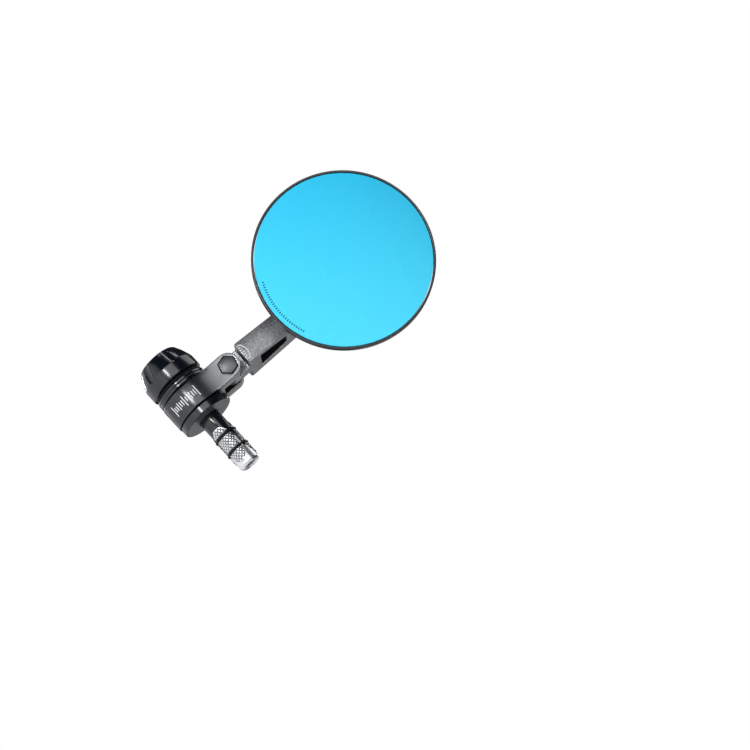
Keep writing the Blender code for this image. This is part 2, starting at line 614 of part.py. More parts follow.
def make_rear(part):
    """Cone, grey ring and grooved shell on the back, with the ring that locks the shell."""
    edge = 0.4 * MM
    shoulder_w = SHELL_W - GAP
    recess = HUB_R + GAP
    part("hub_cone", [(CONE_R, shoulder_w + 0.6 * MM), (CONE_R, CONE_EDGE_W - edge),
                      (CONE_R - edge, CONE_EDGE_W), (24.3 * MM, 0.45 * MM), (21.6 * MM, 2.0 * MM),
                      (19.0 * MM, 3.8 * MM), (recess + edge, HUB_W - 2 * GAP),
                      (recess, HUB_W - 2 * GAP), (recess, SEAT_SPLIT_W - GAP),
                      (BOSS_BORE_R, SEAT_SPLIT_W - GAP), (BOSS_BORE_R, BOSS_W), (BOSS_R, BOSS_W),
                      (BOSS_R, shoulder_w + 0.6 * MM)], "cone_dark")
    part("shell_lock_ring", ring_profile(BOSS_R + GAP, 25.0 * MM, BOSS_W, BOSS_W + 1.3 * MM, GAP),
         "dark_steel")
    part("rear_shell", [(GLASS_R, -9.4 * MM), (GLASS_R, -8.8 * MM),
                        (SCALE_RING_R + GAP, SHELL_W), (BOSS_R + GAP, SHELL_W),
                        (BOSS_R + GAP, SHELL_W - SHELL_T), (34.9 * MM, SHELL_W - SHELL_T),
                        (43.2 * MM, -9.0 * MM), (43.2 * MM, -9.4 * MM)], "grooved_silver")
    inner = CONE_R + GAP
    part("scale_ring", [(inner, SHELL_W + GAP), (SCALE_RING_R, SHELL_W + GAP),
                        (SCALE_RING_R, -2.9 * MM), (SCALE_RING_R - edge, -2.5 * MM),
                        (inner + edge, -1.6 * MM), (inner, -1.9 * MM)], "ring_grey")


def make_front(part):
    """Convex glass in its rim, on a foam pad."""
    part("glass_pad", ring_profile(38.0 * MM, 47.6 * MM, GLASS_BACK_W + GAP, GLASS_BACK_W + 0.9 * MM),
         "foam")
    edge_w = RIM_FRONT_W + GLASS_INSET
    dome = [(GLASS_R * sin(i * pi / 12), edge_w - GLASS_BULGE * cos(i * pi / 12) ** 2)
            for i in range(6, -1, -1)]
    part("mirror_glass", [(0.0, GLASS_BACK_W), (GLASS_R, GLASS_BACK_W), *dome], "blue_glass")
    inner, edge = GLASS_R + GAP, 0.4 * MM
    part("mirror_rim", [(inner, RIM_FRONT_W + GAP), (inner + edge, RIM_FRONT_W),
                        (HEAD_R - edge, RIM_FRONT_W), (HEAD_R, RIM_FRONT_W + edge),
                        (HEAD_R, RIM_BACK_W - edge), (HEAD_R - edge, RIM_BACK_W),
                        (inner, RIM_BACK_W)], "black_gloss")


def add_retaining_screws(head):
    """Screws that hold the retaining plate against the cone's boss."""
    plate, cone = bpy.data.objects["retaining_plate"], bpy.data.objects["hub_cone"]
    top, under, tip = SCREW_W
    profile = [(0.0, top), (SCREW_HEAD_R, top), (SCREW_HEAD_R, under), (SCREW_R, under),
               (SCREW_R, tip), (0.0, tip)]
    for i in range(SCREWS):
        angle = pi / 2 + i * 2 * pi / SCREWS
        place = along_y(SCREW_CIRCLE_R * cos(angle), 0.0, SCREW_CIRCLE_R * sin(angle))
        turned(f"retaining_screw_{i + 1}", profile, "bright_steel", place, 16, head)
        cutter = cylinder_cutter(f"screw_hole_cutter_{i}", SCREW_HOLE_R, top - 2 * MM, tip + GAP,
                                 place, 16, head)
        boolean(plate, cutter)
        boolean(cone, cutter)


def main():
    for obj in list(bpy.data.objects):
        bpy.data.objects.remove(obj, do_unlink=True)
    make_core()
    make_spacer()
    make_knob()
    make_draw_bolt()
    make_wedge_sleeve()
    make_wedge_nut()
    make_jaws()
    make_o_rings()
    make_clamp()
    make_hinge()
    make_arm()
    make_stud()
    make_head()


main()
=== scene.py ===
"""Looks of a bar-end bicycle mirror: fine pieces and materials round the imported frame."""
import json
from math import acos, atan2, cos, hypot, pi, radians, sin, sqrt, tan

import bmesh
import bpy
from mathutils import Matrix, Vector
from mathutils.geometry import interpolate_bezier


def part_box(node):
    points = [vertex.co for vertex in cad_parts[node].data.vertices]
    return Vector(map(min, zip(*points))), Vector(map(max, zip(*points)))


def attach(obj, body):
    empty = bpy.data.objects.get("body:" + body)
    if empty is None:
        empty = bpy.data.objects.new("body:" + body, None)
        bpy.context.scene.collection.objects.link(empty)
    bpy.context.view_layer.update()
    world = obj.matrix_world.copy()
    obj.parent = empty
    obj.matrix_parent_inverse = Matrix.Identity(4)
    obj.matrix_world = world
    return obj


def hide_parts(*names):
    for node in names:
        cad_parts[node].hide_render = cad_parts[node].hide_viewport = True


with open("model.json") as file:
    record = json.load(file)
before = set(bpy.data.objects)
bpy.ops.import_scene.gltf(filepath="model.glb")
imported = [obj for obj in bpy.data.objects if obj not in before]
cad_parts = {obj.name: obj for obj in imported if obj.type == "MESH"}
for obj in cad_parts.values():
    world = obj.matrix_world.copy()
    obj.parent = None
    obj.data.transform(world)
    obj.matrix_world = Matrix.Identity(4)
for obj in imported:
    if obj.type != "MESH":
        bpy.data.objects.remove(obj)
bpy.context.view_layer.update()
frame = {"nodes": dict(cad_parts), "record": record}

MM = 0.001

# Places that the frame gives
JOINTS = {j["name"]: j for j in frame["record"]["behaviour"]["joints"]}
PIVOT = Vector(JOINTS["arm_pivot"]["pos_m"]) / MM
STUD = Vector(JOINTS["stud_spin"]["pos_m"]) / MM
BALL = Vector(JOINTS["head_tilt_z"]["pos_m"]) / MM
HEAD_TURN = radians(JOINTS["head_tilt_z"]["range_deg"][1])
JAW_AXES = [Vector(JOINTS[f"jaw_{i}_slide"]["axis"]) for i in (1, 2, 3)]

# Facets round the turned pieces
RINGS, SMALL_RINGS, WIDE_RINGS, RING_STEPS = 144, 72, 240, 200

# Clearances and radii in mm that several pieces share
GAP = 0.3
ON_AXIS = 1e-6
BOLT_HOLE_R, PIVOT_HOLE_R, STUD_HOLE_R = 3.3, 2.8, 3.3
X_AXIS = Vector((1.0, 0.0, 0.0))
FAR = 40.0                      # half the length of a cutter that goes right through


def span(node, axis):
    """Lowest and highest coordinate of a CAD node along one axis, in mm."""
    low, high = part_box(node)
    return low[axis] / MM, high[axis] / MM


# ---- materials

MATERIALS = {}                  # each material by its name, as it is made
QUARTER_TURN = 0.25
FINE_DETAIL, WIDE_DETAIL = 3.0, 2.0
SMUDGE_SIZE, STAIN_SIZE = 6.0, 9.0
GLOSS_IOR = 1.65                # dense black finish, about 6 % mirror reflection


class Nodes:
    """A material's node tree, with short calls for the nodes used here."""

    def __init__(self, name):
        self.material = bpy.data.materials.new(name)
        MATERIALS[name] = self.material
        self.material.use_nodes = True
        self.tree = self.material.node_tree
        self.shader = self.tree.nodes["Principled BSDF"]
        self.coords = self.add("ShaderNodeTexCoord").outputs["Object"]

    def add(self, kind, inputs=(), **settings):
        """A node whose inputs are values or other nodes' sockets."""
        node = self.tree.nodes.new(kind)
        for key, value in settings.items():
            setattr(node, key, value)
        for key, value in dict(inputs).items():
            if isinstance(value, bpy.types.NodeSocket):
                self.tree.links.new(value, node.inputs[key])
            else:
                node.inputs[key].default_value = value
        return node

    def noise(self, size, detail):
        """Noise whose grain is about size mm."""
        inputs = {"Vector": self.coords, "Scale": 1.0 / (size * MM), "Detail": detail}
        return self.add("ShaderNodeTexNoise", inputs).outputs["Fac"]

    def along(self, direction):
        """Distance along a direction in metres."""
        inputs = {0: self.coords, 1: direction}
        node = self.add("ShaderNodeVectorMath", inputs, operation="DOT_PRODUCT")
        return node.outputs["Value"]

    def remap(self, value, low, high, start=0.2, end=0.8):
        """Value stretched from start..end to low..high and held there."""
        inputs = {"Value": value, "From Min": start, "From Max": end, "To Min": low, "To Max": high}
        return self.add("ShaderNodeMapRange", inputs).outputs[0]

    def ramp(self, value, low, high):
        """Colour that runs from low to high as value runs from 0 to 1."""
        mix = self.add("ShaderNodeMix", data_type="RGBA")
        for socket, content in zip((mix.inputs["Factor"], mix.inputs["A"], mix.inputs["B"]),
                                   (value, low, high)):
            if isinstance(content, bpy.types.NodeSocket):
                self.tree.links.new(content, socket)
            else:
                socket.default_value = content
        return [o for o in mix.outputs if o.type == "RGBA"][0]

    def bump(self, height, depth):
        """Surface relief, depth mm deep."""
        inputs = {"Height": height, "Distance": depth * MM, "Strength": 1.0}
        node = self.add("ShaderNodeBump", inputs)
        self.tree.links.new(node.outputs[0], self.shader.inputs["Normal"])

    def set(self, **values):
        """Settings of the shader; an underscore stands for a space in a socket's name."""
        for key, value in values.items():
            socket = self.shader.inputs[key.replace("_", " ")]
            if isinstance(value, bpy.types.NodeSocket):
                self.tree.links.new(value, socket)
            else:
                socket.default_value = value

    def lathe_marks(self, amount):
        """Tool marks round the local Z axis, which stretch highlights across them."""
        tangent = self.add("ShaderNodeTangent", direction_type="RADIAL", axis="Z")
        self.tree.links.new(tangent.outputs[0], self.shader.inputs["Tangent"])
        self.set(Anisotropic=amount, Anisotropic_Rotation=QUARTER_TURN)


def shade(colour, factor):
    """A colour made lighter or darker, with its alpha."""
    return (*[c * factor for c in colour], 1.0)


def anodised(name, colour, roughness, grain, depth, speckle=0.1, smudge=0.15, metallic=0.9,
             gloss=0.5):
    """Coloured anodised metal: blasted grain, faint mottling and uneven gloss."""
    n = Nodes(name)
    fine = n.noise(grain, FINE_DETAIL)
    wide = n.noise(SMUDGE_SIZE, FINE_DETAIL)
    tone = n.ramp(n.remap(fine, 0.0, 1.0), shade(colour, 1 - speckle), shade(colour, 1 + speckle))
    n.set(Base_Color=n.ramp(n.remap(wide, 0.0, 0.25), tone, shade(colour, 1 + smudge)),
          Roughness=n.remap(wide, roughness * 0.85, roughness * 1.15), Metallic=metallic,
          IOR=GLOSS_IOR, Specular_IOR_Level=gloss)
    n.bump(fine, depth)


def turned_metal(name, colour, roughness, anisotropy, pitch, depth):
    """Metal turned on a lathe: fine rings about the local Z axis."""
    n = Nodes(name)
    parts = n.add("ShaderNodeSeparateXYZ", {"Vector": n.coords}).outputs
    flat = n.add("ShaderNodeCombineXYZ", {"X": parts[0], "Y": parts[1]}).outputs[0]
    radius = n.add("ShaderNodeVectorMath", {0: flat}, operation="LENGTH").outputs["Value"]
    rings = n.add("ShaderNodeTexNoise", {"W": radius, "Scale": 1.0 / (pitch * MM), "Detail": 2.0},
                  noise_dimensions="1D").outputs["Fac"]
    wide = n.noise(STAIN_SIZE, WIDE_DETAIL)
    n.set(Base_Color=n.ramp(n.remap(rings, 0.0, 1.0), shade(colour, 0.88), shade(colour, 1.12)),
          Roughness=n.remap(wide, roughness * 0.94, roughness * 1.06), Metallic=1.0)
    n.bump(rings, depth)
    n.lathe_marks(anisotropy)


# painted shade and painted light of the clamp's satin black
CLAMP_SHADED, CLAMP_LIT = (0.062, 0.066, 0.072, 1.0), (0.205, 0.208, 0.214, 1.0)
CLAMP_SPECK = (0.2, 0.2, 0.2, 1.0)
CLAMP_LIT_FADE = (11.0, 21.0)       # heights in mm between which the painted light on the lugs grows brighter
CLAMP_GRAIN, CLAMP_RELIEF = 0.14, 0.004


def clamp_satin_painted_lit():
    """Satin black with painted light: the lugs are painted lighter than the ring, standing in for
    the light they reflect.
    """
    n = Nodes("clamp_satin_painted_lit")
    # painted light: the colour runs from shaded round the ring to lit up the lugs
    share = n.remap(n.along((0.0, 0.0, 1.0)), 0.0, 1.0, CLAMP_LIT_FADE[0] * MM, CLAMP_LIT_FADE[1] * MM)
    fine = n.noise(CLAMP_GRAIN, FINE_DETAIL)
    wide = n.noise(SMUDGE_SIZE, FINE_DETAIL)
    colour = n.ramp(share, CLAMP_SHADED, CLAMP_LIT)
    n.set(Base_Color=n.ramp(n.remap(fine, 0.0, 0.12), colour, CLAMP_SPECK),
          Roughness=n.remap(wide, 0.18, 0.24), Metallic=0.9)
    n.bump(fine, CLAMP_RELIEF)


RUBBER_DARK, RUBBER_LIGHT = (0.002, 0.002, 0.002, 1.0), (0.006, 0.006, 0.007, 1.0)
RUBBER_GRAIN, RUBBER_RELIEF = 0.15, 0.02


def rubber():
    """Dull black rubber."""
    n = Nodes("rubber")
    grain = n.noise(RUBBER_GRAIN, FINE_DETAIL)
    n.set(Base_Color=n.ramp(grain, RUBBER_DARK, RUBBER_LIGHT),
          Roughness=n.remap(grain, 0.4, 0.6), Specular_IOR_Level=0.3)
    n.bump(grain, RUBBER_RELIEF)


# lit and shaded blues of the glass, for a painted reflection
GLASS_LIT, GLASS_SHADED = (0.05, 0.56, 0.77, 1.0), (0.004, 0.42, 0.67, 1.0)
REFLECTION_FALL = (-0.74, -0.67, 0.0)      # direction on the glass in which the painted reflection grows darker
REFLECTION_REACH = 50.0
SMEAR_SIZE = 40.0


def blue_glass():
    """Blue mirror coating under glass, with a painted reflection that is lighter towards one edge
    and deeper towards the other.
    """
    n = Nodes("blue_glass")
    share = n.remap(n.along(REFLECTION_FALL), 0.0, 1.0, -REFLECTION_REACH * MM, REFLECTION_REACH * MM)
    smear = n.noise(SMEAR_SIZE, WIDE_DETAIL)
    n.set(Base_Color=n.ramp(share, GLASS_LIT, GLASS_SHADED),
          Roughness=n.remap(smear, 0.26, 0.29, 0.0, 1.0), Metallic=0.5,
          Specular_IOR_Level=0.15, Coat_Weight=0.25, Coat_Roughness=0.02)


# Colour, roughness, grain and relief in mm
anodised("black_gloss", (0.0015, 0.0035, 0.0075), 0.19, 0.12, 0.002, metallic=0.0)
anodised("black_satin", (0.145, 0.148, 0.154), 0.2, 0.14, 0.004)
clamp_satin_painted_lit()
anodised("clamp_edge", (0.6, 0.61, 0.62), 0.3, 0.2, 0.003)
anodised("arm_blasted", (0.235, 0.24, 0.246), 0.42, 0.9, 0.09, speckle=0.75)
anodised("arm_edge", (0.55, 0.56, 0.57), 0.35, 0.2, 0.005)
anodised("bolt_grey", (0.125, 0.127, 0.13), 0.4, 0.4, 0.03, speckle=0.2)
anodised("flange_face", (0.20, 0.202, 0.206), 0.5, 0.2, 0.01)
anodised("knob_face", (0.30, 0.30, 0.31), 0.4, 0.35, 0.03, speckle=0.5)
anodised("ring_grey", (0.28, 0.28, 0.287), 0.5, 0.18, 0.012)
anodised("white_print", (0.9, 0.9, 0.9), 0.5, 0.3, 0.004, speckle=0.03, smudge=0.05, metallic=0.0)
anodised("dark_print", (0.003, 0.02, 0.05), 0.6, 0.3, 0.002, metallic=0.0, gloss=0.05)
# painted shade for the clamp's slot and hex pocket, the hex head's sides and the arm's pockets
anodised("pocket_painted_shade", (0.003, 0.003, 0.004), 0.6, 0.3, 0.01, metallic=0.0, gloss=0.1)
anodised("foam", (0.02, 0.02, 0.02), 0.8, 0.5, 0.05, metallic=0.0)
anodised("liner", (0.02, 0.02, 0.022), 0.4, 0.3, 0.005, metallic=0.0)
rubber()
blue_glass()

# Colour, roughness, stretch of the highlights, pitch and relief of the rings in mm
turned_metal("bright_edge", (0.75, 0.76, 0.78), 0.22, 0.3, 0.1, 0.001)
turned_metal("bright_steel", (0.74, 0.75, 0.76), 0.24, 0.3, 0.12, 0.002)
turned_metal("knurled_steel", (0.80, 0.81, 0.82), 0.27, 0.0, 0.3, 0.001)
# painted shade for the knurl's grooves
turned_metal("knurl_painted_shade", (0.25, 0.255, 0.26), 0.4, 0.0, 0.3, 0.001)
turned_metal("nut_steel", (0.84, 0.85, 0.86), 0.34, 0.0, 0.3, 0.004)
turned_metal("dark_chrome", (0.055, 0.06, 0.066), 0.16, 0.0, 0.2, 0.0005)
turned_metal("cone_chrome", (0.20, 0.21, 0.225), 0.26, 0.9, 0.08, 0.0005)
turned_metal("grooved_silver", (0.72, 0.75, 0.79), 0.26, 0.85, 0.1, 0.0005)
turned_metal("groove_shadow", (0.34, 0.37, 0.42), 0.3, 0.7, 0.1, 0.0005)


# ---- mesh tools

ALONG_X = Matrix.Rotation(pi / 2, 4, "Y")           # lays a piece's Z axis along +X


def along_y(at):
    """Placement that lays a piece's Z axis along +Y at a point."""
    return Matrix.Translation(at * MM) @ Matrix.Rotation(-pi / 2, 4, "X")


HEAD = Matrix.Translation(BALL * MM) @ Matrix.Rotation(HEAD_TURN, 4, "Z") \
    @ Matrix.Rotation(-pi / 2, 4, "X")


def added(name, data):
    """A new object in the scene."""
    obj = bpy.data.objects.new(name, data)
    bpy.context.scene.collection.objects.link(obj)
    return obj


def new_object(name, bm, materials, place=None):
    """An object from a bmesh in mm."""
    bmesh.ops.scale(bm, vec=(MM, MM, MM), verts=bm.verts)
    bmesh.ops.recalc_face_normals(bm, faces=bm.faces)
    mesh = bpy.data.meshes.new(name)
    bm.to_mesh(mesh)
    bm.free()
    for key in materials:
        mesh.materials.append(MATERIALS[key])
    obj = added(name, mesh)
    if place is not None:
        obj.matrix_world = place
    return obj


def finish_piece(obj, body, nodes=(), sharp=32.0):
    """Shade the piece, put it on its body and let it stand for its CAD nodes."""
    obj.data.shade_smooth()
    obj.data.set_sharp_from_angle(angle=radians(sharp))
    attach(obj, body)
    if nodes:
        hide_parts(*nodes)
    return obj


STRAIGHT = radians(172.0)       # a corner flatter than this stays as it is
CORNER_SHARE = 0.42             # share of a side that a rounding may take


def softened(points, radius, closed=True, steps=4):
    """An outline with each corner rounded by up to radius."""
    result = []
    count = len(points)
    for i, point in enumerate(points):
        if not closed and i in (0, count - 1):
            result.append(point)
            continue
        here = Vector(point)
        before, after = Vector(points[i - 1]) - here, Vector(points[(i + 1) % count]) - here
        shorter = min(before.length, after.length)
        if shorter < ON_AXIS or before.angle(after) > STRAIGHT:
            result.append(point)
            continue
        reach = min(radius, CORNER_SHARE * shorter)
        start, end = here + before.normalized() * reach, here + after.normalized() * reach
        for k in range(steps + 1):
            t = k / steps
            mid = start * (1 - t) ** 2 + here * 2 * t * (1 - t) + end * t * t
            result.append((mid.x, mid.y))
    return result


def turned_mesh(profile, steps, closed):
    """Spin (radius, height) points about Z; a point at radius 0 becomes one vertex."""
    bm = bmesh.new()
    rings = []
    for r, h in profile:
        if r < ON_AXIS:
            rings.append([bm.verts.new((0.0, 0.0, h))] * steps)
            continue
        rings.append([bm.verts.new((r * cos(2 * pi * i / steps), r * sin(2 * pi * i / steps), h))
                      for i in range(steps)])
    pairs = list(zip(rings, rings[1:])) + ([(rings[-1], rings[0])] if closed else [])
    for a, b in pairs:
        for i in range(steps):
            corners = [a[i], a[i - 1], b[i - 1], b[i]]
            unique = list(dict.fromkeys(corners))
            if len(unique) > 2:
                bm.faces.new(unique)
    return bm


def turned(name, profile, materials, place, radius=0.0, steps=RINGS):
    """A turned object; radius rounds the corners of its outline."""
    closed = profile[0][0] > ON_AXIS and profile[-1][0] > ON_AXIS
    outline = softened(profile, radius, closed) if radius else profile
    return new_object(name, turned_mesh(outline, steps, closed), materials, place)


def turned_piece(node, body, profile, materials, place, radius=0.0, steps=RINGS):
    """A turned piece that stands for one CAD node."""
    obj = turned(f"{node}_fine", profile, materials, place, radius, steps)
    return finish_piece(obj, body, [node])


def loft(bm, rings):
    """Add a closed solid through rings of points."""
    loops = [[bm.verts.new(point) for point in ring] for ring in rings]
    bm.faces.new(loops[0])
    bm.faces.new(loops[-1])
    for a, b in zip(loops, loops[1:]):
        for k in range(len(a)):
            bm.faces.new((a[k - 1], a[k], b[k], b[k - 1]))
    return bm


def extruded(outline, start, end, axes, bm=None):
    """Extrude a 2-D outline; axes names its two directions, such as 'YZ'."""
    along = ({"X", "Y", "Z"} - set(axes)).pop()
    rings = [[[{axes[0]: u, axes[1]: v, along: d}[k] for k in "XYZ"] for u, v in outline]
             for d in (start, end)]
    return loft(bmesh.new() if bm is None else bm, rings)


def arc(radius, start, end, count, centre=(0.0, 0.0)):
    """Points of a circular arc from one angle to another."""
    angles = [start + (end - start) * i / (count - 1) for i in range(count)]
    return [(centre[0] + radius * cos(a), centre[1] + radius * sin(a)) for a in angles]


def rectangle(u0, u1, v0, v1):
    """Outline of a rectangle, or of a ring's section."""
    return [(u0, v0), (u1, v0), (u1, v1), (u0, v1)]


def sphere_profile(radius, w0, w1, count):
    """Outline of a sphere about the origin between two heights."""
    a0, a1 = acos(w0 / radius), acos(w1 / radius)
    return [(radius * sin(a0 + (a1 - a0) * i / (count - 1)),
             radius * cos(a0 + (a1 - a0) * i / (count - 1))) for i in range(count)]


def cut(obj, cutter, operation="DIFFERENCE"):
    """Boolean with a throw-away cutter."""
    m = obj.modifiers.new("cut", "BOOLEAN")
    m.operation = operation
    m.object = cutter
    m.solver = "EXACT"
    freeze(obj)
    bpy.data.objects.remove(cutter, do_unlink=True)


def carve(obj, outline, start, end, axes, operation="DIFFERENCE"):
    """Boolean with an extruded outline."""
    cut(obj, new_object("cutter", extruded(outline, start, end, axes), []), operation)


def drill(obj, place, steps, rings=SMALL_RINGS):
    """Cut a round hole; each step is a radius and the heights at which it starts and ends."""
    outline = [(0.0, steps[0][1])]
    for r, start, end in steps:
        outline += [(r, start), (r, end)]
    outline.append((0.0, steps[-1][2]))
    cut(obj, turned("drill", outline, [], place, steps=rings))


def freeze(obj):
    """Replace the object's mesh by its evaluated mesh."""
    bpy.context.view_layer.update()
    mesh = bpy.data.meshes.new_from_object(obj.evaluated_get(bpy.context.evaluated_depsgraph_get()))
    obj.modifiers.clear()
    obj.data = mesh


def bevelled(obj, width, segments=2, material=-1, angle=28.0):
    """Round the sharp edges; material is the slot that the rounding takes."""
    m = obj.modifiers.new("edges", "BEVEL")
    m.width = width * MM
    m.segments = segments
    m.limit_method = "ANGLE"
    m.angle_limit = radians(angle)
    m.material = material
    m.use_clamp_overlap = True
    m.miter_outer = "MITER_ARC"
    freeze(obj)


def slice_off(bm, point, normal):
    """Remove what lies beyond a plane and close the cut."""
    geom = bm.verts[:] + bm.edges[:] + bm.faces[:]
    made = bmesh.ops.bisect_plane(bm, geom=geom, dist=1e-5, plane_co=point, plane_no=normal,
                                  clear_outer=True)["geom_cut"]
    edges = [e for e in made if isinstance(e, bmesh.types.BMEdge)]
    bmesh.ops.contextual_create(bm, geom=edges)


def tick_length(i, long_every, middle_every, lengths):
    """Long, middle or short length of a scale's i-th tick."""
    if i % long_every == 0:
        return lengths[0]
    return lengths[1] if i % middle_every == 0 else lengths[2]


def radial_scale(name, surface, count, start, step, every, lengths, outer_r, half_width, level,
                 lifts):
    """Ticks printed on the head; start and step are in degrees, level gives W at a radius."""
    bm = bmesh.new()
    for i in range(count):
        a = radians(start + i * step)
        outward, side = Vector((cos(a), sin(a))), Vector((-sin(a), cos(a))) * half_width
        foot, head = outward * (outer_r - tick_length(i, *every, lengths)), outward * outer_r
        corners = (foot - side, foot + side, head + side, head - side)
        loft(bm, [[(p.x, p.y, level(p.length) + lift) for p in corners] for lift in lifts])
    finish_piece(new_object(name, bm, [surface], HEAD), "head")


def paint(obj, index, test):
    """Give a material slot to the faces whose local centre (mm) and normal pass the test."""
    for face in obj.data.polygons:
        if test(face.center / MM, face.normal):
            face.material_index = index


# ---- handlebar end

CORE_R, CORE_SEAT_R, CORE_CHAMFER = 12.0, 6.55, 0.5


def make_core():
    """Turned core that carries the clamp, with its flange against the handlebar."""
    x0, x1 = span("flanged_core", 0)
    r = span("flanged_core", 2)[1]
    face_x, edge = span("clamp_ring", 0)[1] + GAP, CORE_CHAMFER
    profile = [(BOLT_HOLE_R, x0), (CORE_R, x0), (CORE_R, face_x), (r - edge, face_x),
               (r, face_x + edge), (r, x1 - edge), (r - edge, x1), (CORE_SEAT_R, x1),
               (CORE_SEAT_R, x1 - edge), (BOLT_HOLE_R, x1 - edge)]
    core = turned_piece("flanged_core", "bar_end", profile, ["black_gloss", "flange_face"],
                        ALONG_X, 0.22)
    paint(core, 1, lambda c, n: n.z > 0.98 and c.z > x1 - 0.2)


SPACER_CHAMFER, SPACER_GROOVE = 0.6, 0.35


def make_spacer():
    """Grooved spacer between clamp and knob."""
    x0, x1 = span("spacer_ring", 0)
    r = span("spacer_ring", 2)[1]
    edge, notch, middle = SPACER_CHAMFER, SPACER_GROOVE, (x0 + x1) / 2
    profile = [(BOLT_HOLE_R, x0), (r - edge, x0), (r, x0 + edge), (r, middle - notch),
               (r - notch, middle), (r, middle + notch), (r, x1 - edge), (r - edge, x1),
               (BOLT_HOLE_R, x1)]
    turned_piece("spacer_ring", "bar_end", profile, ["black_gloss"], ALONG_X, 0.2)


def make_seal():
    """Round rubber ring between spacer and knob."""
    x0, x1 = span("knob_seal", 0)
    cord_r = (x1 - x0) / 2
    centre = (span("knob_seal", 2)[1] - cord_r, (x0 + x1) / 2)
    outline = arc(cord_r, 0.0, 2 * pi, 13, centre)[:-1]
    turned_piece("knob_seal", "bar_end", outline, ["rubber"], ALONG_X)


KNOB_COLLAR, KNOB_FACE_R, KNOB_FACE_EDGE = 7.8, 11.6, 0.9
KNOB_RECESS_R, KNOB_RECESS_DEPTH = 6.3, 7.5
FLUTES, FLUTE_R, FLUTE_DEPTH, FLUTE_SHIFT = 6, 4.2, 1.5, radians(12.0)
KNOB_MARKS = ((20.0, 78.0), (200.0, 258.0))
KNOB_MARK_R = (9.1, 9.9)


def knob_profile(x3, x1, r):
    """Outline of the knob from its collar at x1 down its domed taper to its face at x3."""
    x2, floor = x1 - KNOB_COLLAR, x3 + KNOB_RECESS_DEPTH
    edge, lip_r = (KNOB_FACE_R + KNOB_FACE_EDGE, x3 + KNOB_FACE_EDGE), KNOB_RECESS_R + 1.0
    collar = [(BOLT_HOLE_R, x1), (r - 1.6, x1), (r, x1 - 0.9)]
    taper = [(r, x2 + 1.2), (r, x2), (r - 1.5, x2 - 4.6), edge]
    face = [edge, (KNOB_FACE_R, x3), (lip_r, x3), (lip_r, x3 + 0.35), (KNOB_RECESS_R, x3 + 0.6),
            (KNOB_RECESS_R, floor), (BOLT_HOLE_R, floor)]
    return softened(collar, 0.3, False) + softened(taper, 1.6, False, 8) \
        + softened(face, 0.25, False)[1:]


def cut_flutes(knob, x3, x2, r):
    """Round-bottomed flutes along the knob's taper."""
    slope = Vector((x3 - x2, 0.0, KNOB_FACE_R + KNOB_FACE_EDGE - r)).normalized()
    outward = Vector((slope.z, 0.0, -slope.x))
    start = Vector((x2 - 1.4, 0.0, r)) + outward * (FLUTE_R - FLUTE_DEPTH)
    capsule = [(0.0, -FLUTE_R)] + arc(FLUTE_R, -pi / 2, 0.0, 14)[1:] \
        + [(FLUTE_R, 20.0), (0.0, 20.0)]
    lay = slope.to_track_quat("Z", "Y").to_matrix().to_4x4()
    for i in range(FLUTES):
        turn = Matrix.Rotation(FLUTE_SHIFT + i * 2 * pi / FLUTES, 4, "X")
        place = turn @ Matrix.Translation(start * MM) @ lay
        cut(knob, turned("flute", capsule, ["black_gloss"], place, steps=64))


def make_knob():
    """Fluted knob with a domed taper and a printed end face."""
    x3, x1 = span("end_knob", 0)
    r = span("end_knob", 2)[1]
    knob = turned("end_knob_fine", knob_profile(x3, x1, r), ["black_gloss", "knob_face"],
                  ALONG_X, steps=180)
    cut_flutes(knob, x3, x1 - KNOB_COLLAR, r)
    paint(knob, 1, lambda c, n: n.z < -0.98 and hypot(c.x, c.y) > KNOB_RECESS_R + 1.3)
    bevelled(knob, 0.14, 2, angle=24.0)
    finish_piece(knob, "bar_end", ["end_knob"])
    for i, (start, end) in enumerate(KNOB_MARKS):
        arrow_arc(f"knob_arc_{i + 1}", "bar_end", KNOB_MARK_R, start, end, (x3 - 0.04, x3),
                  ALONG_X, 1.0)


ARROW_LENGTH, ARROW_SPREAD = 1.6, 0.6


def arrow_arc(name, body, radii, start, end, heights, place, scale):
    """A thin printed arc between two angles in degrees, with an arrow head at its end."""
    (r0, r1), a0, a1 = radii, radians(start), radians(end)
    middle, spread = (r0 + r1) / 2, scale * ARROW_SPREAD
    tip = a1 + ARROW_LENGTH * scale / middle
    head = [((r1 + spread) * cos(a1), (r1 + spread) * sin(a1)),
            (middle * cos(tip), middle * sin(tip)),
            ((r0 - spread) * cos(a1), (r0 - spread) * sin(a1))]
    outline = arc(r1, a0, a1, 24) + head + arc(r0, a0, a1, 24)[::-1]
    mark = new_object(name, extruded(outline, *heights, "XY"), ["white_print"], place)
    finish_piece(mark, body)


def hexagon(across_flats, turn):
    """Corners of a hexagon, the first of them at an angle."""
    return arc(across_flats / sqrt(3.0), turn, turn + 5 * pi / 3, 6)


HEAD_CHAMFER, SHANK_CHAMFER = 0.4, 0.5
BOLT_HEAD_R, BOLT_SHANK_R = 5.0, 3.0
SOCKET_AF, SOCKET_TURN, SOCKET_DEPTH = 5.0, radians(2.0), 2.8


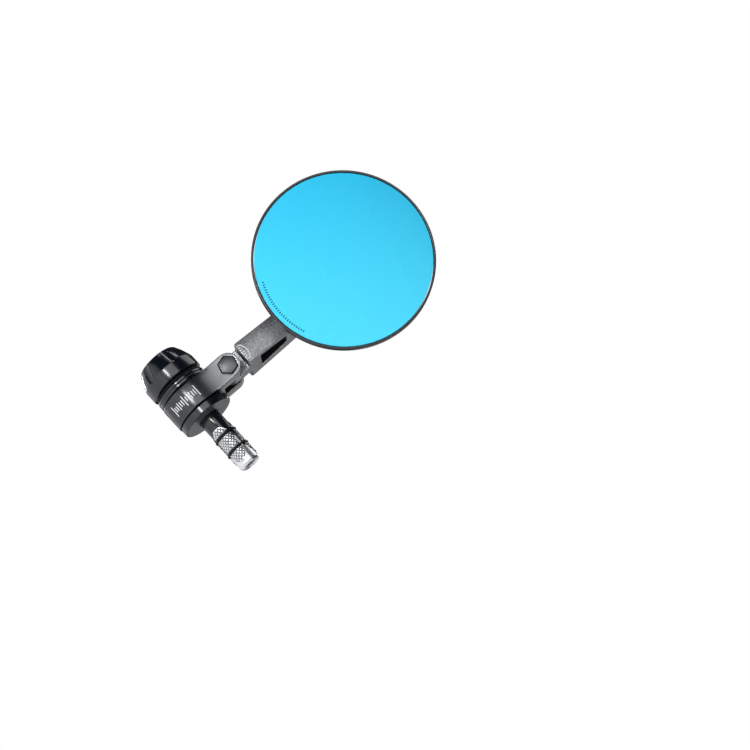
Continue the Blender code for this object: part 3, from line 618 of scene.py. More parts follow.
def make_draw_bolt():
    """Socket-head bolt that draws the wedge nut in, and its washer."""
    x0, x1 = span("draw_bolt", 0)
    w0, w1 = span("bolt_washer", 0)
    profile = [(0.0, x0), (BOLT_HEAD_R - HEAD_CHAMFER, x0), (BOLT_HEAD_R, x0 + HEAD_CHAMFER),
               (BOLT_HEAD_R, w0 - GAP), (BOLT_SHANK_R, w0 - GAP),
               (BOLT_SHANK_R, x1 - SHANK_CHAMFER), (BOLT_SHANK_R - SHANK_CHAMFER, x1), (0.0, x1)]
    bolt = turned("draw_bolt_fine", profile, ["dark_chrome"], ALONG_X, 0.12, SMALL_RINGS)
    carve(bolt, hexagon(SOCKET_AF, SOCKET_TURN), x0 - 1.0, x0 + SOCKET_DEPTH, "YZ")
    finish_piece(bolt, "draw_bolt", ["draw_bolt"])
    washer = rectangle(BOLT_HOLE_R, span("bolt_washer", 2)[1], w0, w1)
    turned_piece("bolt_washer", "bar_end", washer, ["dark_chrome"], ALONG_X, 0.1, SMALL_RINGS)


# ---- expander

JAW_R = span("jaw_2", 2)[1]
JAW_X0, JAW_X1 = span("jaw_1", 0)
JAW_OUT = [Vector((0.0, a.y, a.z)).normalized() for a in JAW_AXES]
JAW_TIP, JAW_FLOOR, JAW_SLOT = 0.25, 3.6, 1.7
JAW_ROWS, JAW_COLUMNS = 150, 84
WEDGE = tan(acos(-JAW_AXES[0].x))
NECK_X, NECK_R = 12.6, 5.5      # the sleeve's thinner end
NUT_CHAMFER, NUT_MOUTH_R = 1.0, 4.2
O_RINGS = {"inner": sum(span("o_ring_inner", 0)) / 2, "outer": sum(span("o_ring_outer", 0)) / 2}
O_RING_R, O_RING_CORD = 6.5, 0.65
O_RING_ROOM = O_RING_CORD + GAP
KNURL_PITCH, KNURL_DEPTH, KNURL_LAND = 2.2, 0.25, 0.45
KNURL_SHADE = 0.5               # share of the depth below which a groove gets painted shade


def wedge_piece(node, body, surface, profile, end_x, sign):
    """A turned piece with three sloping flats that meet the jaws' ends."""
    bm = turned_mesh(softened(profile, 0.15), RINGS, True)
    bm.transform(ALONG_X)
    room = JAW_TIP + GAP * sqrt(1.0 + WEDGE ** 2)
    for out in JAW_OUT:
        point = X_AXIS * end_x + out * (JAW_R - room)
        slice_off(bm, point, out + X_AXIS * sign * WEDGE)
    finish_piece(new_object(f"{node}_fine", bm, [surface]), body, [node])


def make_wedges():
    """The sleeve at the flange and the nut at the plug's tip."""
    x0, x1 = span("wedge_sleeve", 0)
    r = span("wedge_sleeve", 2)[1]
    sleeve = [(BOLT_HOLE_R, x0), (r, x0), (r, NECK_X), (NECK_R, NECK_X), (NECK_R, x1),
              (BOLT_HOLE_R, x1)]
    wedge_piece("wedge_sleeve", "bar_end", "black_gloss", sleeve, JAW_X0, 1)
    x0, x1 = span("wedge_nut", 0)
    r = span("wedge_nut", 2)[1]
    nut = [(BOLT_HOLE_R, x0), (r, x0), (r, x1 - NUT_CHAMFER - 0.1), (r - NUT_CHAMFER, x1),
           (NUT_MOUTH_R + 0.4, x1), (NUT_MOUTH_R, x1 - 0.5), (BOLT_HOLE_R, x1 - 0.5)]
    wedge_piece("wedge_nut", "wedge_nut", "nut_steel", nut, JAW_X1, -1)


def groove(value):
    """Depth share of one family of knurl grooves, 0 on the land and 1 at the bottom."""
    share = abs(2.0 * (value % 1.0) - 1.0)
    return max(0.0, (share - KNURL_LAND) / (1.0 - KNURL_LAND))


def knurl_share(x, angle):
    """Share of the knurl's depth, which fades out along the jaw's arched ends."""
    arch = max(0.0, (JAW_R - JAW_TIP - JAW_R * cos(angle)) / WEDGE)
    margin = min(x - JAW_X0 - arch, JAW_X1 - arch - x)
    return min(1.0, max(0.0, (margin - 0.2) / 0.3))


def jaw_radius(x, angle):
    """Radius of a jaw's outer face, with its knurl and its two ring grooves."""
    from_ring = min(abs(x - centre) for centre in O_RINGS.values())
    if from_ring < O_RING_ROOM:
        return O_RING_R - O_RING_ROOM
    if from_ring < O_RING_ROOM + 0.25:
        return JAW_R - KNURL_DEPTH * 0.6
    along, across = x / KNURL_PITCH, angle * JAW_R / KNURL_PITCH
    depth = max(groove(along + across), groove(along - across))
    return JAW_R - KNURL_DEPTH * knurl_share(x, angle) * depth


def jaw_section():
    """Half angle of a jaw's outer face and half width of its inner one."""
    third = pi / 3
    slot = Vector((JAW_SLOT * sin(third), -JAW_SLOT * cos(third)))
    corner = slot + sqrt(JAW_R ** 2 - JAW_SLOT ** 2) * Vector((cos(third), sin(third)))
    return atan2(corner.y, corner.x), slot.y + (JAW_FLOOR - slot.x) * tan(third)


def jaw_rings():
    """Sections of a jaw along X, its outer face towards +Y."""
    half, inner = jaw_section()
    rows = [JAW_X0 + (JAW_X1 - JAW_X0) * i / JAW_ROWS for i in range(JAW_ROWS + 1)]
    for centre in O_RINGS.values():
        for edge in (centre - O_RING_ROOM, centre + O_RING_ROOM):
            rows += [edge - 0.01, edge + 0.01]
    angles = [-half + 2 * half * k / JAW_COLUMNS for k in range(JAW_COLUMNS + 1)]
    rings = []
    for x in sorted(rows):
        face = [(x, jaw_radius(x, a) * cos(a), jaw_radius(x, a) * sin(a)) for a in angles]
        rings.append([(x, JAW_FLOOR, -inner)] + face + [(x, JAW_FLOOR, inner)])
    return rings


def make_jaws():
    """Diamond-knurled jaws with sloping ends; their knurl grooves and ring grooves get painted
    shade.
    """
    rings = jaw_rings()
    shade_r = JAW_R - KNURL_DEPTH * KNURL_SHADE
    for i, out in enumerate(JAW_OUT):
        bm = loft(bmesh.new(), rings)
        bm.transform(Matrix((X_AXIS, out, out.cross(X_AXIS))).transposed().to_4x4())
        for x, sign in ((JAW_X0, 1), (JAW_X1, -1)):
            point = X_AXIS * x + out * (JAW_R - JAW_TIP)
            slice_off(bm, point, -out - X_AXIS * sign * WEDGE)
        jaw = new_object(f"jaw_{i + 1}_fine", bm, ["knurled_steel", "knurl_painted_shade"])
        # painted shade in the knurl's grooves and in the ring grooves
        paint(jaw, 1, lambda c, n: hypot(c.y, c.z) < shade_r and n.dot(out) > 0.2
              and JAW_X0 + 0.5 < c.x < JAW_X1 - 0.5)
        finish_piece(jaw, f"jaw_{i + 1}", [f"jaw_{i + 1}"], 24.0)


ARC_REACH, ARC_FULL = radians(68.0), radians(59.0)
ARC_STEPS, TAIL_THINNING = 60, 0.16


def make_o_rings():
    """Each ring is three arcs that ride on the jaws; their ends pass each other as it stretches."""
    for label, x in O_RINGS.items():
        for i, out in enumerate(JAW_OUT):
            across = out.cross(X_AXIS)
            rings = []
            for k in range(ARC_STEPS + 1):
                a = -ARC_REACH + 2 * ARC_REACH * k / ARC_STEPS
                tail = max(0.0, abs(a) - ARC_FULL) / (ARC_REACH - ARC_FULL)
                cord = O_RING_CORD * (1.0 - TAIL_THINNING * min(1.0, tail * 2))
                radial = out * cos(a) + across * sin(a)
                rings.append([radial * (O_RING_R + c) + X_AXIS * (x + h)
                              for c, h in arc(cord, 0.0, 2 * pi, 17)[:-1]])
            piece = new_object(f"o_ring_{label}_arc_{i + 1}", loft(bmesh.new(), rings), ["rubber"])
            finish_piece(piece, f"jaw_{i + 1}", [f"o_ring_{label}"], 60.0)


# ---- clamp and hinge

LUG_Y, LUG_GAP, LUG_FLOOR_Z = 13.6, 4.7, 16.4
JOIN = radians(168.0)           # where the lugs' sides leave the ring
CLAMP_BORE_R, CAP_POCKET_R, CAP_POCKET_DEPTH = 12.3, 5.5, 4.0
HEX_AF, HEX_TURN, HEX_DEPTH, HEX_ROOM = 9.2, pi / 4, 3.6, 0.7
PIVOT_PLACE = along_y(PIVOT)
STUD_PLACE = along_y(STUD)


def trim_ends(obj, half, z0, z1, round_low):
    """Keep what lies inside an upright outline in the XZ plane that is round at its top."""
    low = [(PIVOT.x - half, z0), (PIVOT.x + half, z0)]
    if round_low:
        low = arc(half, pi, 2 * pi, 48, (PIVOT.x, z0))
    high = arc(half, 0.0, pi, 48, (PIVOT.x, z1))
    carve(obj, low + high, -FAR, FAR, "XZ", "INTERSECT")


def bezier(p0, p1, p2, p3, count):
    """Points of a cubic curve."""
    return [(p.x, p.y) for p in interpolate_bezier(p0, p1, p2, p3, count)]


def clamp_outline(r, top):
    """Outline in the YZ plane of the ring and the lugs that its sides run into."""
    foot = Vector((r * cos(JOIN), r * sin(JOIN)))
    along = Vector((-sin(JOIN), cos(JOIN)))
    side = bezier((-LUG_Y, 15.0), (-LUG_Y, 10.5), foot - along * 3.5, foot, 14)
    return [(-LUG_Y, top + 1.0)] + side + arc(r, JOIN, 3 * pi - JOIN, 90)[1:-1] \
        + [(-y, z) for y, z in side[::-1]] + [(LUG_Y, top + 1.0)]


def make_clamp():
    """Ring with two lugs, which hold the pivot bolt and its cap."""
    x0, x1 = span("clamp_ring", 0)
    low, top = span("clamp_ring", 2)
    blank = extruded(clamp_outline(-low, top), x0 - 5.0, x1 + 5.0, "YZ")
    clamp = new_object("clamp_ring_fine", blank, ["clamp_satin_painted_lit", "clamp_edge", "pocket_painted_shade"])
    trim_ends(clamp, (x1 - x0) / 2, -FAR, PIVOT.z, False)
    drill(clamp, ALONG_X, [(CLAMP_BORE_R, -FAR, FAR)], RINGS)
    carve(clamp, rectangle(-LUG_GAP, LUG_GAP, LUG_FLOOR_Z, FAR), -FAR, FAR, "YZ")
    cap_floor = LUG_Y - CAP_POCKET_DEPTH
    drill(clamp, PIVOT_PLACE, [(PIVOT_HOLE_R, -FAR, cap_floor), (CAP_POCKET_R, cap_floor, FAR)])
    pocket = [(PIVOT.x + u, PIVOT.z + v) for u, v in hexagon(HEX_AF + HEX_ROOM, HEX_TURN)]
    carve(clamp, pocket, -FAR, HEX_DEPTH - LUG_Y, "XZ")
    bevelled(clamp, 0.45, 3, material=1)
    paint_clamp(clamp)
    finish_piece(clamp, "clamp", ["clamp_ring"])
    make_clamp_scale((x0 + x1) / 2, -low)


def paint_clamp(clamp):
    """Bright edges stay on the lugs' outer sides only; the slot and the pocket get painted shade.
    """
    paint(clamp, 0, lambda c, n: c.z < 12.0 or abs(c.y) < LUG_GAP + 0.6)
    paint(clamp, 2, lambda c, n: abs(c.y) < LUG_GAP + 0.05 and c.z > LUG_FLOOR_Z - 0.1)
    paint(clamp, 2, lambda c, n: c.y < -10.3 and hypot(c.x - PIVOT.x, c.z - PIVOT.z) < 5.4
          and (abs(n.y) < 0.3 or c.y > -12.0))


SCALE_TICKS, SCALE_STEP, SCALE_START = 13, 5.3, 168.0
SCALE_LENGTHS = (3.4, 2.4, 1.6)


def make_clamp_scale(middle, r):
    """Printed angle scale round the front of the ring."""
    bm = bmesh.new()
    for i in range(SCALE_TICKS):
        angle = radians(SCALE_START + i * SCALE_STEP)
        reach = tick_length(i, 6, 3, SCALE_LENGTHS)
        corners = rectangle(middle - reach, middle + reach, angle - radians(1.0),
                            angle + radians(1.0))
        loft(bm, [[(x, h * cos(a), h * sin(a)) for x, a in corners] for h in (r - 0.05, r + 0.03)])
    finish_piece(new_object("clamp_scale", bm, ["white_print"]), "clamp")


def dome(radius, bore, base, wall, top, bore_top):
    """Outline of a domed cap with a small shoulder round its dome."""
    shoulder, spring = radius - 0.25, wall + 0.12
    curve = [(shoulder * cos(i * pi / 28), spring + (top - spring) * sin(i * pi / 28))
             for i in range(14)] + [(0.0, top)]
    return [(0.0, bore_top), (bore, bore_top), (bore, base), (radius, base), (radius, wall)] + curve


HINGE_BOLT_R = 2.5
WASHER_R = 6.2


def make_hinge():
    """Hexagonal pivot bolt, its domed cap and the two friction washers."""
    y0, y1 = span("pivot_bolt", 1)
    head_y = HEX_DEPTH - LUG_Y - GAP
    outline = [(PIVOT.x + u, PIVOT.z + v) for u, v in hexagon(HEX_AF, HEX_TURN)]
    bolt = new_object("pivot_bolt_fine", extruded(outline, y0, head_y, "XZ"),
                      ["bolt_grey", "arm_edge", "pocket_painted_shade"])
    shank = rectangle(0.0, HINGE_BOLT_R, head_y - 1.0, y1)
    cut(bolt, turned("shank", shank, ["bolt_grey"], PIVOT_PLACE, steps=SMALL_RINGS), "UNION")
    bevelled(bolt, 0.2, 2)
    # painted shade on the hex head's sides, which sit down in their pocket
    paint(bolt, 2, lambda c, n: abs(n.y) < 0.5)
    finish_piece(bolt, "clamp", ["pivot_bolt"])
    y0, y1 = span("pivot_cap", 1)
    x0, x1 = span("pivot_cap", 0)
    cap = dome((x1 - x0) / 2, PIVOT_HOLE_R, y0, LUG_Y - GAP, y1, y0 + 2.1)
    turned_piece("pivot_cap", "clamp", cap, ["dark_chrome"], PIVOT_PLACE, steps=SMALL_RINGS)
    for side in ("front", "rear"):
        ring = rectangle(PIVOT_HOLE_R, WASHER_R, *span(f"friction_washer_{side}", 1))
        turned_piece(f"friction_washer_{side}", "clamp", ring, ["bright_steel"], PIVOT_PLACE,
                     0.08, SMALL_RINGS)


# ---- arm

TONGUE_Y, SHOULDER = 3.5, 9.4
ARM_LENGTH = STUD.z - PIVOT.z
ARM_FRONT, ARM_BACK = (-13.3, -2.2), (13.0, 8.65)   # Y at the shoulder and at the stud
ARM_EXTRA = 20.0                # blank left past the arm's end and sides before trimming
POCKET_STEPS = ((0.0, 1.3), (0.9, 5.0))             # inset and depth of a pocket's two steps


def arm_face(ends, z):
    """Y of the arm's front or back at a height above the pivot."""
    return ends[0] + (ends[1] - ends[0]) * (z - SHOULDER) / (ARM_LENGTH - SHOULDER)


def arm_blank(half):
    """Tapered bar with its tongue, before its ends are rounded."""
    end = ARM_LENGTH + ARM_EXTRA
    side = softened([(ARM_BACK[0], SHOULDER), (arm_face(ARM_BACK, end), end),
                     (arm_face(ARM_FRONT, end), end), (ARM_FRONT[0], SHOULDER)], 0.9, True, 5)
    side = [(y, PIVOT.z + z) for y, z in side]
    arm = new_object("arm_fine", extruded(side, PIVOT.x - ARM_EXTRA, PIVOT.x + ARM_EXTRA, "YZ"),
                     ["arm_blasted", "arm_edge", "pocket_painted_shade"])
    foot = PIVOT.z + SHOULDER
    front = rectangle(PIVOT.x - half, PIVOT.x + half, foot, PIVOT.z + end)
    carve(arm, softened(front, 1.5, True, 6), -FAR, FAR, "XZ", "INTERSECT")
    tongue = rectangle(-TONGUE_Y, TONGUE_Y, PIVOT.z - ARM_EXTRA, foot + 3.0)
    reach = ARM_EXTRA - 1.0
    carve(arm, tongue, PIVOT.x - reach, PIVOT.x + reach, "YZ", "UNION")
    return arm


def cut_pockets(arm, half):
    """Two stepped pockets in each side of the arm; each end is (z, front Y, back Y)."""
    z0, z1 = 41.0, 73.0
    pockets = (((17.3, -8.3, 6.4), (35.6, -5.0, 3.4)),
               ((z0, arm_face(ARM_FRONT, z0) + 1.8, 6.2), (z1, arm_face(ARM_FRONT, z1) + 1.8, 5.4)))
    for (low, low_front, low_back), (high, high_front, high_back) in pockets:
        for inset, depth in POCKET_STEPS:
            outline = [(low_front + inset, low + inset), (low_back - inset, low + inset),
                       (high_back - inset, high - inset), (high_front + inset, high - inset)]
            outline = [(y, PIVOT.z + z) for y, z in softened(outline, 1.3, True, 6)]
            for side in (-1, 1):
                ends = sorted((PIVOT.x + side * ARM_EXTRA, PIVOT.x + side * (half - depth)))
                carve(arm, outline, *ends, "YZ")


def make_arm():
    """Tapered arm, round at both ends, with stepped pockets along its sides."""
    half = (span("arm", 0)[1] - span("arm", 0)[0]) / 2
    arm = arm_blank(half)
    trim_ends(arm, half, PIVOT.z, STUD.z, True)
    cut_pockets(arm, half)
    drill(arm, PIVOT_PLACE, [(PIVOT_HOLE_R, -FAR, FAR)])
    drill(arm, STUD_PLACE, [(5.2, -FAR, -1.2), (STUD_HOLE_R, -1.2, 6.6), (5.3, 6.6, FAR)])
    bevelled(arm, 0.3, 2, material=1)
    # painted shade on the walls and floors of the arm's pockets
    paint(arm, 2, lambda c, n: abs(c.x - PIVOT.x) < half - 0.25 and 15.0 < c.z - PIVOT.z < 76.0
          and arm_face(ARM_FRONT, c.z - PIVOT.z) + 1.0 < c.y
          and c.y < arm_face(ARM_BACK, c.z - PIVOT.z) - 1.0)
    finish_piece(arm, "arm", ["arm"])
    make_arm_marks()


def make_arm_marks():
    """A turning arrow and a short scale printed on the arm's front, above the shoulder."""
    z = SHOULDER + 2.6
    slope = atan2(ARM_FRONT[1] - ARM_FRONT[0], ARM_LENGTH - SHOULDER)
    place = Matrix.Translation(Vector((PIVOT.x, arm_face(ARM_FRONT, z), PIVOT.z + z)) * MM) \
        @ Matrix.Rotation(-slope, 4, "X") @ Matrix.Rotation(pi / 2, 4, "X")
    centre = Matrix.Translation((0, -6.0 * MM, 0))
    arrow_arc("arm_arrow", "arm", (7.3, 7.75), 52.0, 122.0, (-0.015, 0.035), place @ centre, 0.5)
    bm = bmesh.new()
    foot, half_width = -1.9, 0.24
    for i in range(7):
        x, top = (i - 3) * 1.5, foot + tick_length(i, 3, 3, (1.9, 1.3, 1.3))
        extruded(rectangle(x - half_width, x + half_width, foot, top), -0.02, 0.03, "XY", bm)
    finish_piece(new_object("arm_ticks", bm, ["white_print"], place), "arm")


STUD_BALL_R, STUD_NECK_R, STUD_COLLAR_R, STUD_SHANK_R = 7.0, 3.2, 4.9, 3.0
STUD_COLLAR_Y = (-4.2, -2.3)
STUD_END_Y = 8.0
CAP_R, CAP_WALL_Y, CAP_FLOOR_Y = 5.0, 8.9, 8.4


def make_stud():
    """Ball stud, its washer and its domed cap."""
    collar0, collar1 = STUD_COLLAR_Y[0] - BALL.y, STUD_COLLAR_Y[1] - BALL.y
    end = STUD_END_Y - BALL.y
    neck_h = sqrt(STUD_BALL_R ** 2 - STUD_NECK_R ** 2)
    ball = [(0.0, -STUD_BALL_R)] + sphere_profile(STUD_BALL_R, -STUD_BALL_R, neck_h, 32)[1:]
    stem = [ball[-1], (STUD_NECK_R, collar0), (STUD_COLLAR_R, collar0), (STUD_COLLAR_R, collar1),
            (STUD_SHANK_R, collar1), (STUD_SHANK_R, end), (0.0, end)]
    turned_piece("ball_stud", "stud", ball + softened(stem, 0.3, False)[1:], ["dark_chrome"],
                 along_y(BALL), steps=SMALL_RINGS)
    ring = rectangle(STUD_HOLE_R, STUD_COLLAR_R, *span("stud_washer", 1))
    turned_piece("stud_washer", "stud", ring, ["bright_steel"], STUD_PLACE, 0.1, SMALL_RINGS)
    y0, y1 = span("stud_cap", 1)
    cap = dome(CAP_R, STUD_HOLE_R, y0, CAP_WALL_Y, y1, CAP_FLOOR_Y)
    turned_piece("stud_cap", "stud", cap, ["dark_chrome"], STUD_PLACE, steps=SMALL_RINGS)


# ---- mirror head

# Radii of the head's pieces, and their places along its axis W, which is 0 at the ball's
# centre and falls towards the glass
HEAD_R, GLASS_R, SCALE_R, CONE_R, HUB_R = 50.0, 48.4, 35.4, 27.9, 15.9
RIM_FRONT, RIM_BACK = -13.0, -8.5
GLASS_EDGE, GLASS_BULGE, GLASS_BACK = -12.4, 1.0, -10.6
SHELL_TOP, SHELL_FALL, SHELL_LIP_R = -4.2, 4.6, 19.6
HUB_TOP = 6.5


def head_piece(node, profile, materials, radius=0.0, steps=WIDE_RINGS, body="head"):
    """A turned piece about the head's axis."""
    return turned_piece(node, body, profile, materials, HEAD, radius, steps)


def make_front():
    """Convex glass in its rim."""
    inner = GLASS_R + GAP
    rim = [(inner, RIM_FRONT + 0.35), (inner + 0.35, RIM_FRONT), (HEAD_R - 0.45, RIM_FRONT),
           (HEAD_R, RIM_FRONT + 0.45), (HEAD_R, RIM_BACK - 0.45), (HEAD_R - 0.45, RIM_BACK),
           (inner, RIM_BACK)]
    head_piece("mirror_rim", rim, ["black_gloss"], 0.14)
    count = 26
    angles = [pi / 2 * (count - i) / count for i in range(count)]
    glass = [(0.0, GLASS_BACK), (GLASS_R - 0.2, GLASS_BACK), (GLASS_R, GLASS_BACK - 0.2)]
    glass += [(GLASS_R * sin(a), GLASS_EDGE - GLASS_BULGE * cos(a) ** 2) for a in angles]
    glass.append((0.0, GLASS_EDGE - GLASS_BULGE))
    head_piece("mirror_glass", glass, ["blue_glass"])
    head_piece("glass_pad", rectangle(38.0, 47.6, -10.3, -9.7), ["foam"], 0.15, RINGS)
    outer_r = GLASS_R - 2.2
    face_w = GLASS_EDGE - GLASS_BULGE * (1 - (outer_r / GLASS_R) ** 2)
    radial_scale("glass_ticks", "dark_print", 25, 70.0, 1.85, (8, 4), (2.6, 1.9, 1.3), outer_r,
                 0.26, lambda r: face_w, (-0.05, 0.07))


GROOVES, GROOVE_DEPTH = 15, 0.1
GROOVE_R0, GROOVE_R1 = SCALE_R + 1.0, GLASS_R - 0.5
GROOVE_PITCH = (GROOVE_R1 - GROOVE_R0) / GROOVES


def shell_w(r):
    """Height of the shell's sloping back at a radius."""
    inner = SCALE_R + GAP
    return SHELL_TOP - (r - inner) * SHELL_FALL / (GLASS_R - inner)


def make_shell():
    """Rear shell with its turned grooves."""
    grooves = []
    for i in range(GROOVES):
        r = GROOVE_R0 + i * GROOVE_PITCH
        bottom, end = r + GROOVE_PITCH * 0.3, r + GROOVE_PITCH * 0.6
        grooves += [(r, shell_w(r)), (bottom, shell_w(r) - GROOVE_DEPTH), (end, shell_w(end))]
    shell = [(GLASS_R, -9.4), (GLASS_R, shell_w(GLASS_R))] + grooves[::-1] \
        + [(SCALE_R + GAP, SHELL_TOP), (SHELL_LIP_R, SHELL_TOP), (SHELL_LIP_R, -6.0),
           (34.9, -6.0), (43.2, -9.0), (43.2, -9.4)]
    rear = head_piece("rear_shell", shell, ["grooved_silver", "groove_shadow"])
    # painted shade in each turned groove
    paint(rear, 1, lambda c, n: n.z > 0.3 and GROOVE_R0 < hypot(c.x, c.y) < GROOVE_R1
          and (hypot(c.x, c.y) - GROOVE_R0) % GROOVE_PITCH < GROOVE_PITCH * 0.6)


RING_TOP, RING_EDGE = -1.6, 0.75
RING_SLOPE = 0.9 / (SCALE_R - 0.45 - CONE_R - RING_EDGE)


def make_scale_ring():
    """Grey ring with bright edges."""
    inner, outer = CONE_R + RING_EDGE, SCALE_R - 0.45
    ring = [(CONE_R + GAP, -3.9), (SCALE_R, -3.9), (SCALE_R, -2.9), (outer, -2.5),
            (inner, RING_TOP), (CONE_R + GAP, -1.85)]
    scale = head_piece("scale_ring", ring, ["ring_grey", "bright_edge"], 0.05, RING_STEPS)
    paint(scale, 1, lambda c, n: n.z > 0.2 and not inner - 0.02 < hypot(c.x, c.y) < outer - 0.02)
    radial_scale("ring_ticks", "white_print", 73, 133.0, 2.0, (10, 5), (3.0, 2.2, 1.5),
                 SCALE_R - 1.7, 0.17, lambda r: RING_TOP - (r - inner) * RING_SLOPE, (-0.05, 0.03))


BOSS_R, SEAT_BORE_R, LINER_R, LINER_INNER_R, SEAT_SPHERE_R = 19.3, 12.2, 8.6, 7.3, 8.9
HUB_MOUTH_R, HUB_SPLIT, SEAT_TOP, BOSS_BACK = 8.8, 1.0, 0.7, -7.6


def make_hub():
    """Polished cone and the hub cap in its middle."""
    recess, cone_top = HUB_R + GAP, 5.9
    hollow = bezier((CONE_R - 0.4, -1.3), (24.0, -0.2), (19.6, 2.6), (recess + 0.4, cone_top), 26)
    cone = [(CONE_R, -3.6), (CONE_R, -1.7)] + hollow \
        + [(recess, cone_top), (recess, SEAT_TOP), (SEAT_BORE_R, SEAT_TOP),
           (SEAT_BORE_R, BOSS_BACK), (BOSS_R, BOSS_BACK), (BOSS_R, -3.6)]
    head_piece("hub_cone", cone, ["cone_chrome"])
    edge = HUB_TOP - 0.5
    seat = sphere_profile(SEAT_SPHERE_R, 5.2, HUB_SPLIT, 10)
    hub = softened([(HUB_R, HUB_SPLIT), (HUB_R, edge), (HUB_R - 0.5, HUB_TOP),
                    (HUB_MOUTH_R + 0.5, HUB_TOP), (HUB_MOUTH_R, edge), seat[0]], 0.06, False)
    cap = head_piece("hub_cap", hub + seat[1:], ["ring_grey", "bright_edge", "black_satin"],
                     steps=RING_STEPS)
    paint(cap, 2, lambda c, n: hypot(c.x, c.y) < HUB_MOUTH_R - 0.05)
    paint(cap, 1, lambda c, n: hypot(c.x, c.y) > HUB_R - 0.48 and n.z > 0.2)


def make_socket():
    """Hidden pieces of the ball joint."""
    liner = sphere_profile(LINER_R, -5.0, 5.2, 16) + sphere_profile(LINER_INNER_R, 5.2, -5.0, 16)
    head_piece("ball_liner", liner, ["liner"], steps=SMALL_RINGS, body="socket_liner")
    seat_r, low = SEAT_BORE_R - GAP, -6.0
    seat = [(seat_r, low), (seat_r, SEAT_TOP)] + sphere_profile(SEAT_SPHERE_R, SEAT_TOP, -5.4, 12)
    seat.append((sqrt(SEAT_SPHERE_R ** 2 - 5.4 ** 2), low))
    head_piece("ball_seat", seat, ["bright_steel"], steps=SMALL_RINGS)
    for node, r0, r1, surface in (("seat_spring", 8.2, 11.6, "bright_steel"),
                                  ("shell_lock_ring", SHELL_LIP_R, 25.0, "dark_chrome")):
        head_piece(node, rectangle(r0, r1, BOSS_BACK, -6.3), [surface], 0.3, SMALL_RINGS)
    for node in ("retaining_plate", "retaining_screw_1", "retaining_screw_2", "retaining_screw_3"):
        surface = "black_satin" if node == "retaining_plate" else "bright_steel"
        for slot in frame["nodes"][node].material_slots:
            slot.material = MATERIALS[surface]


make_core()
make_spacer()
make_seal()
make_knob()
make_draw_bolt()
make_wedges()
make_jaws()
make_o_rings()
make_clamp()
make_hinge()
make_arm()
make_stud()
make_front()
make_shell()
make_scale_ring()
make_hub()
make_socket()


# ---- stage

LOOK = Vector((-0.2294, 0.9553, 0.1865)).normalized()
RIGHT = Vector((0.6707, 0.0163, 0.7416)).normalized()
CAMERA_AT = Vector((0.3188, -1.1500, -0.1419))
LENS, SENSOR = 106.3, 36.0
FLOOR_Z, FLOOR_R = -0.45, 1.6
WHITE, ROOM, ROOM_STRENGTH = (1.0, 1.0, 1.0, 1.0), (0.70, 0.83, 1.0, 1.0), 0.04
CENTRE = (-0.01, 0.0, 0.06)     # what every light is aimed at
# Place, width and height in metres, and brightness of each light
LIGHTS = {
    "front_softbox": ((-0.08, -0.92, 0.24), (0.86, 0.54), 2.0),
    "front_spot": ((-0.25, -0.92, -0.16), (0.3, 0.1), 28.0),
    "top_softbox": ((-0.25, 0.15, 1.1), (0.9, 0.6), 1.6),
    "left_strip": ((-0.85, -0.05, 0.5), (0.12, 0.6), 5.0),
    "low_strip": ((-0.6, -0.4, -0.6), (0.7, 0.07), 5.0),
    "right_strip": ((0.85, -0.25, 0.1), (0.15, 0.7), 2.0),
    "back_softbox": ((0.15, 0.95, 0.3), (0.9, 0.6), 0.45),
    "back_spot_high": ((0.1, 0.85, 0.75), (0.3, 0.12), 14.0),
    "back_spot_low": ((-0.55, 0.9, -0.3), (0.15, 0.15), 14.0),
    "back_spot_side": ((0.75, 0.75, 0.1), (0.12, 0.2), 10.0),
}


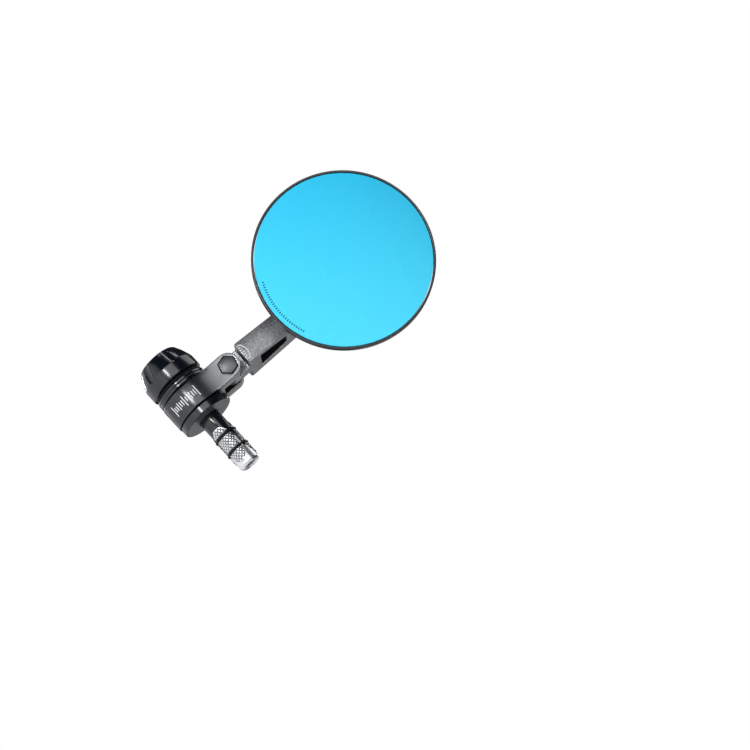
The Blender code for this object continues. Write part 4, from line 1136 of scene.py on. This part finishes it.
def make_camera():
    """Long lens, rolled as in the photograph."""
    data = bpy.data.cameras.new("camera")
    data.lens = LENS
    data.sensor_width = SENSOR
    data.clip_start = 0.01
    camera = added("camera", data)
    up = RIGHT.cross(LOOK).normalized()
    camera.matrix_world = Matrix.Translation(CAMERA_AT) \
        @ Matrix((RIGHT, up, -LOOK)).transposed().to_4x4()
    bpy.context.scene.camera = camera


def make_floor():
    """Pale round floor, far enough below to stay out of the main view."""
    bm = bmesh.new()
    bmesh.ops.create_circle(bm, cap_ends=True, segments=96, radius=FLOOR_R)
    mesh = bpy.data.meshes.new("floor")
    bm.to_mesh(mesh)
    bm.free()
    n = Nodes("floor")
    n.set(Base_Color=(0.8, 0.8, 0.8, 1.0), Roughness=0.7, Emission_Color=(0.96, 0.97, 1.0, 1.0),
          Emission_Strength=0.56)
    n.bump(n.noise(4.0, FINE_DETAIL), 0.1)
    mesh.materials.append(n.material)
    floor = added("floor", mesh)
    floor.location = (0.0, 0.0, FLOOR_Z)


def make_light(name, at, size, brightness):
    """A rectangular light whose surface has the given brightness."""
    data = bpy.data.lights.new(name, "AREA")
    data.shape = "RECTANGLE"
    data.size, data.size_y = size
    data.energy = brightness * pi * size[0] * size[1]
    light = added(name, data)
    light.location = at
    light.rotation_mode = "QUATERNION"
    light.rotation_quaternion = (Vector(CENTRE) - Vector(at)).to_track_quat("-Z", "Y")
    light.visible_camera = False


def make_world():
    """White for the camera, a dimmer room for everything else."""
    world = bpy.data.worlds.new("studio")
    bpy.context.scene.world = world
    world.use_nodes = True
    tree = world.node_tree
    tree.nodes.clear()
    path, mix = tree.nodes.new("ShaderNodeLightPath"), tree.nodes.new("ShaderNodeMixShader")
    tree.links.new(path.outputs["Is Camera Ray"], mix.inputs[0])
    for socket, colour, strength in ((1, ROOM, ROOM_STRENGTH), (2, WHITE, 1.0)):
        background = tree.nodes.new("ShaderNodeBackground")
        background.inputs["Color"].default_value = colour
        background.inputs["Strength"].default_value = strength
        tree.links.new(background.outputs[0], mix.inputs[socket])
    out = tree.nodes.new("ShaderNodeOutputWorld")
    tree.links.new(mix.outputs[0], out.inputs["Surface"])


make_camera()
make_floor()
make_world()
for light_name, light in LIGHTS.items():
    make_light(light_name, *light)

bpy.context.scene.view_settings.view_transform = "Standard"
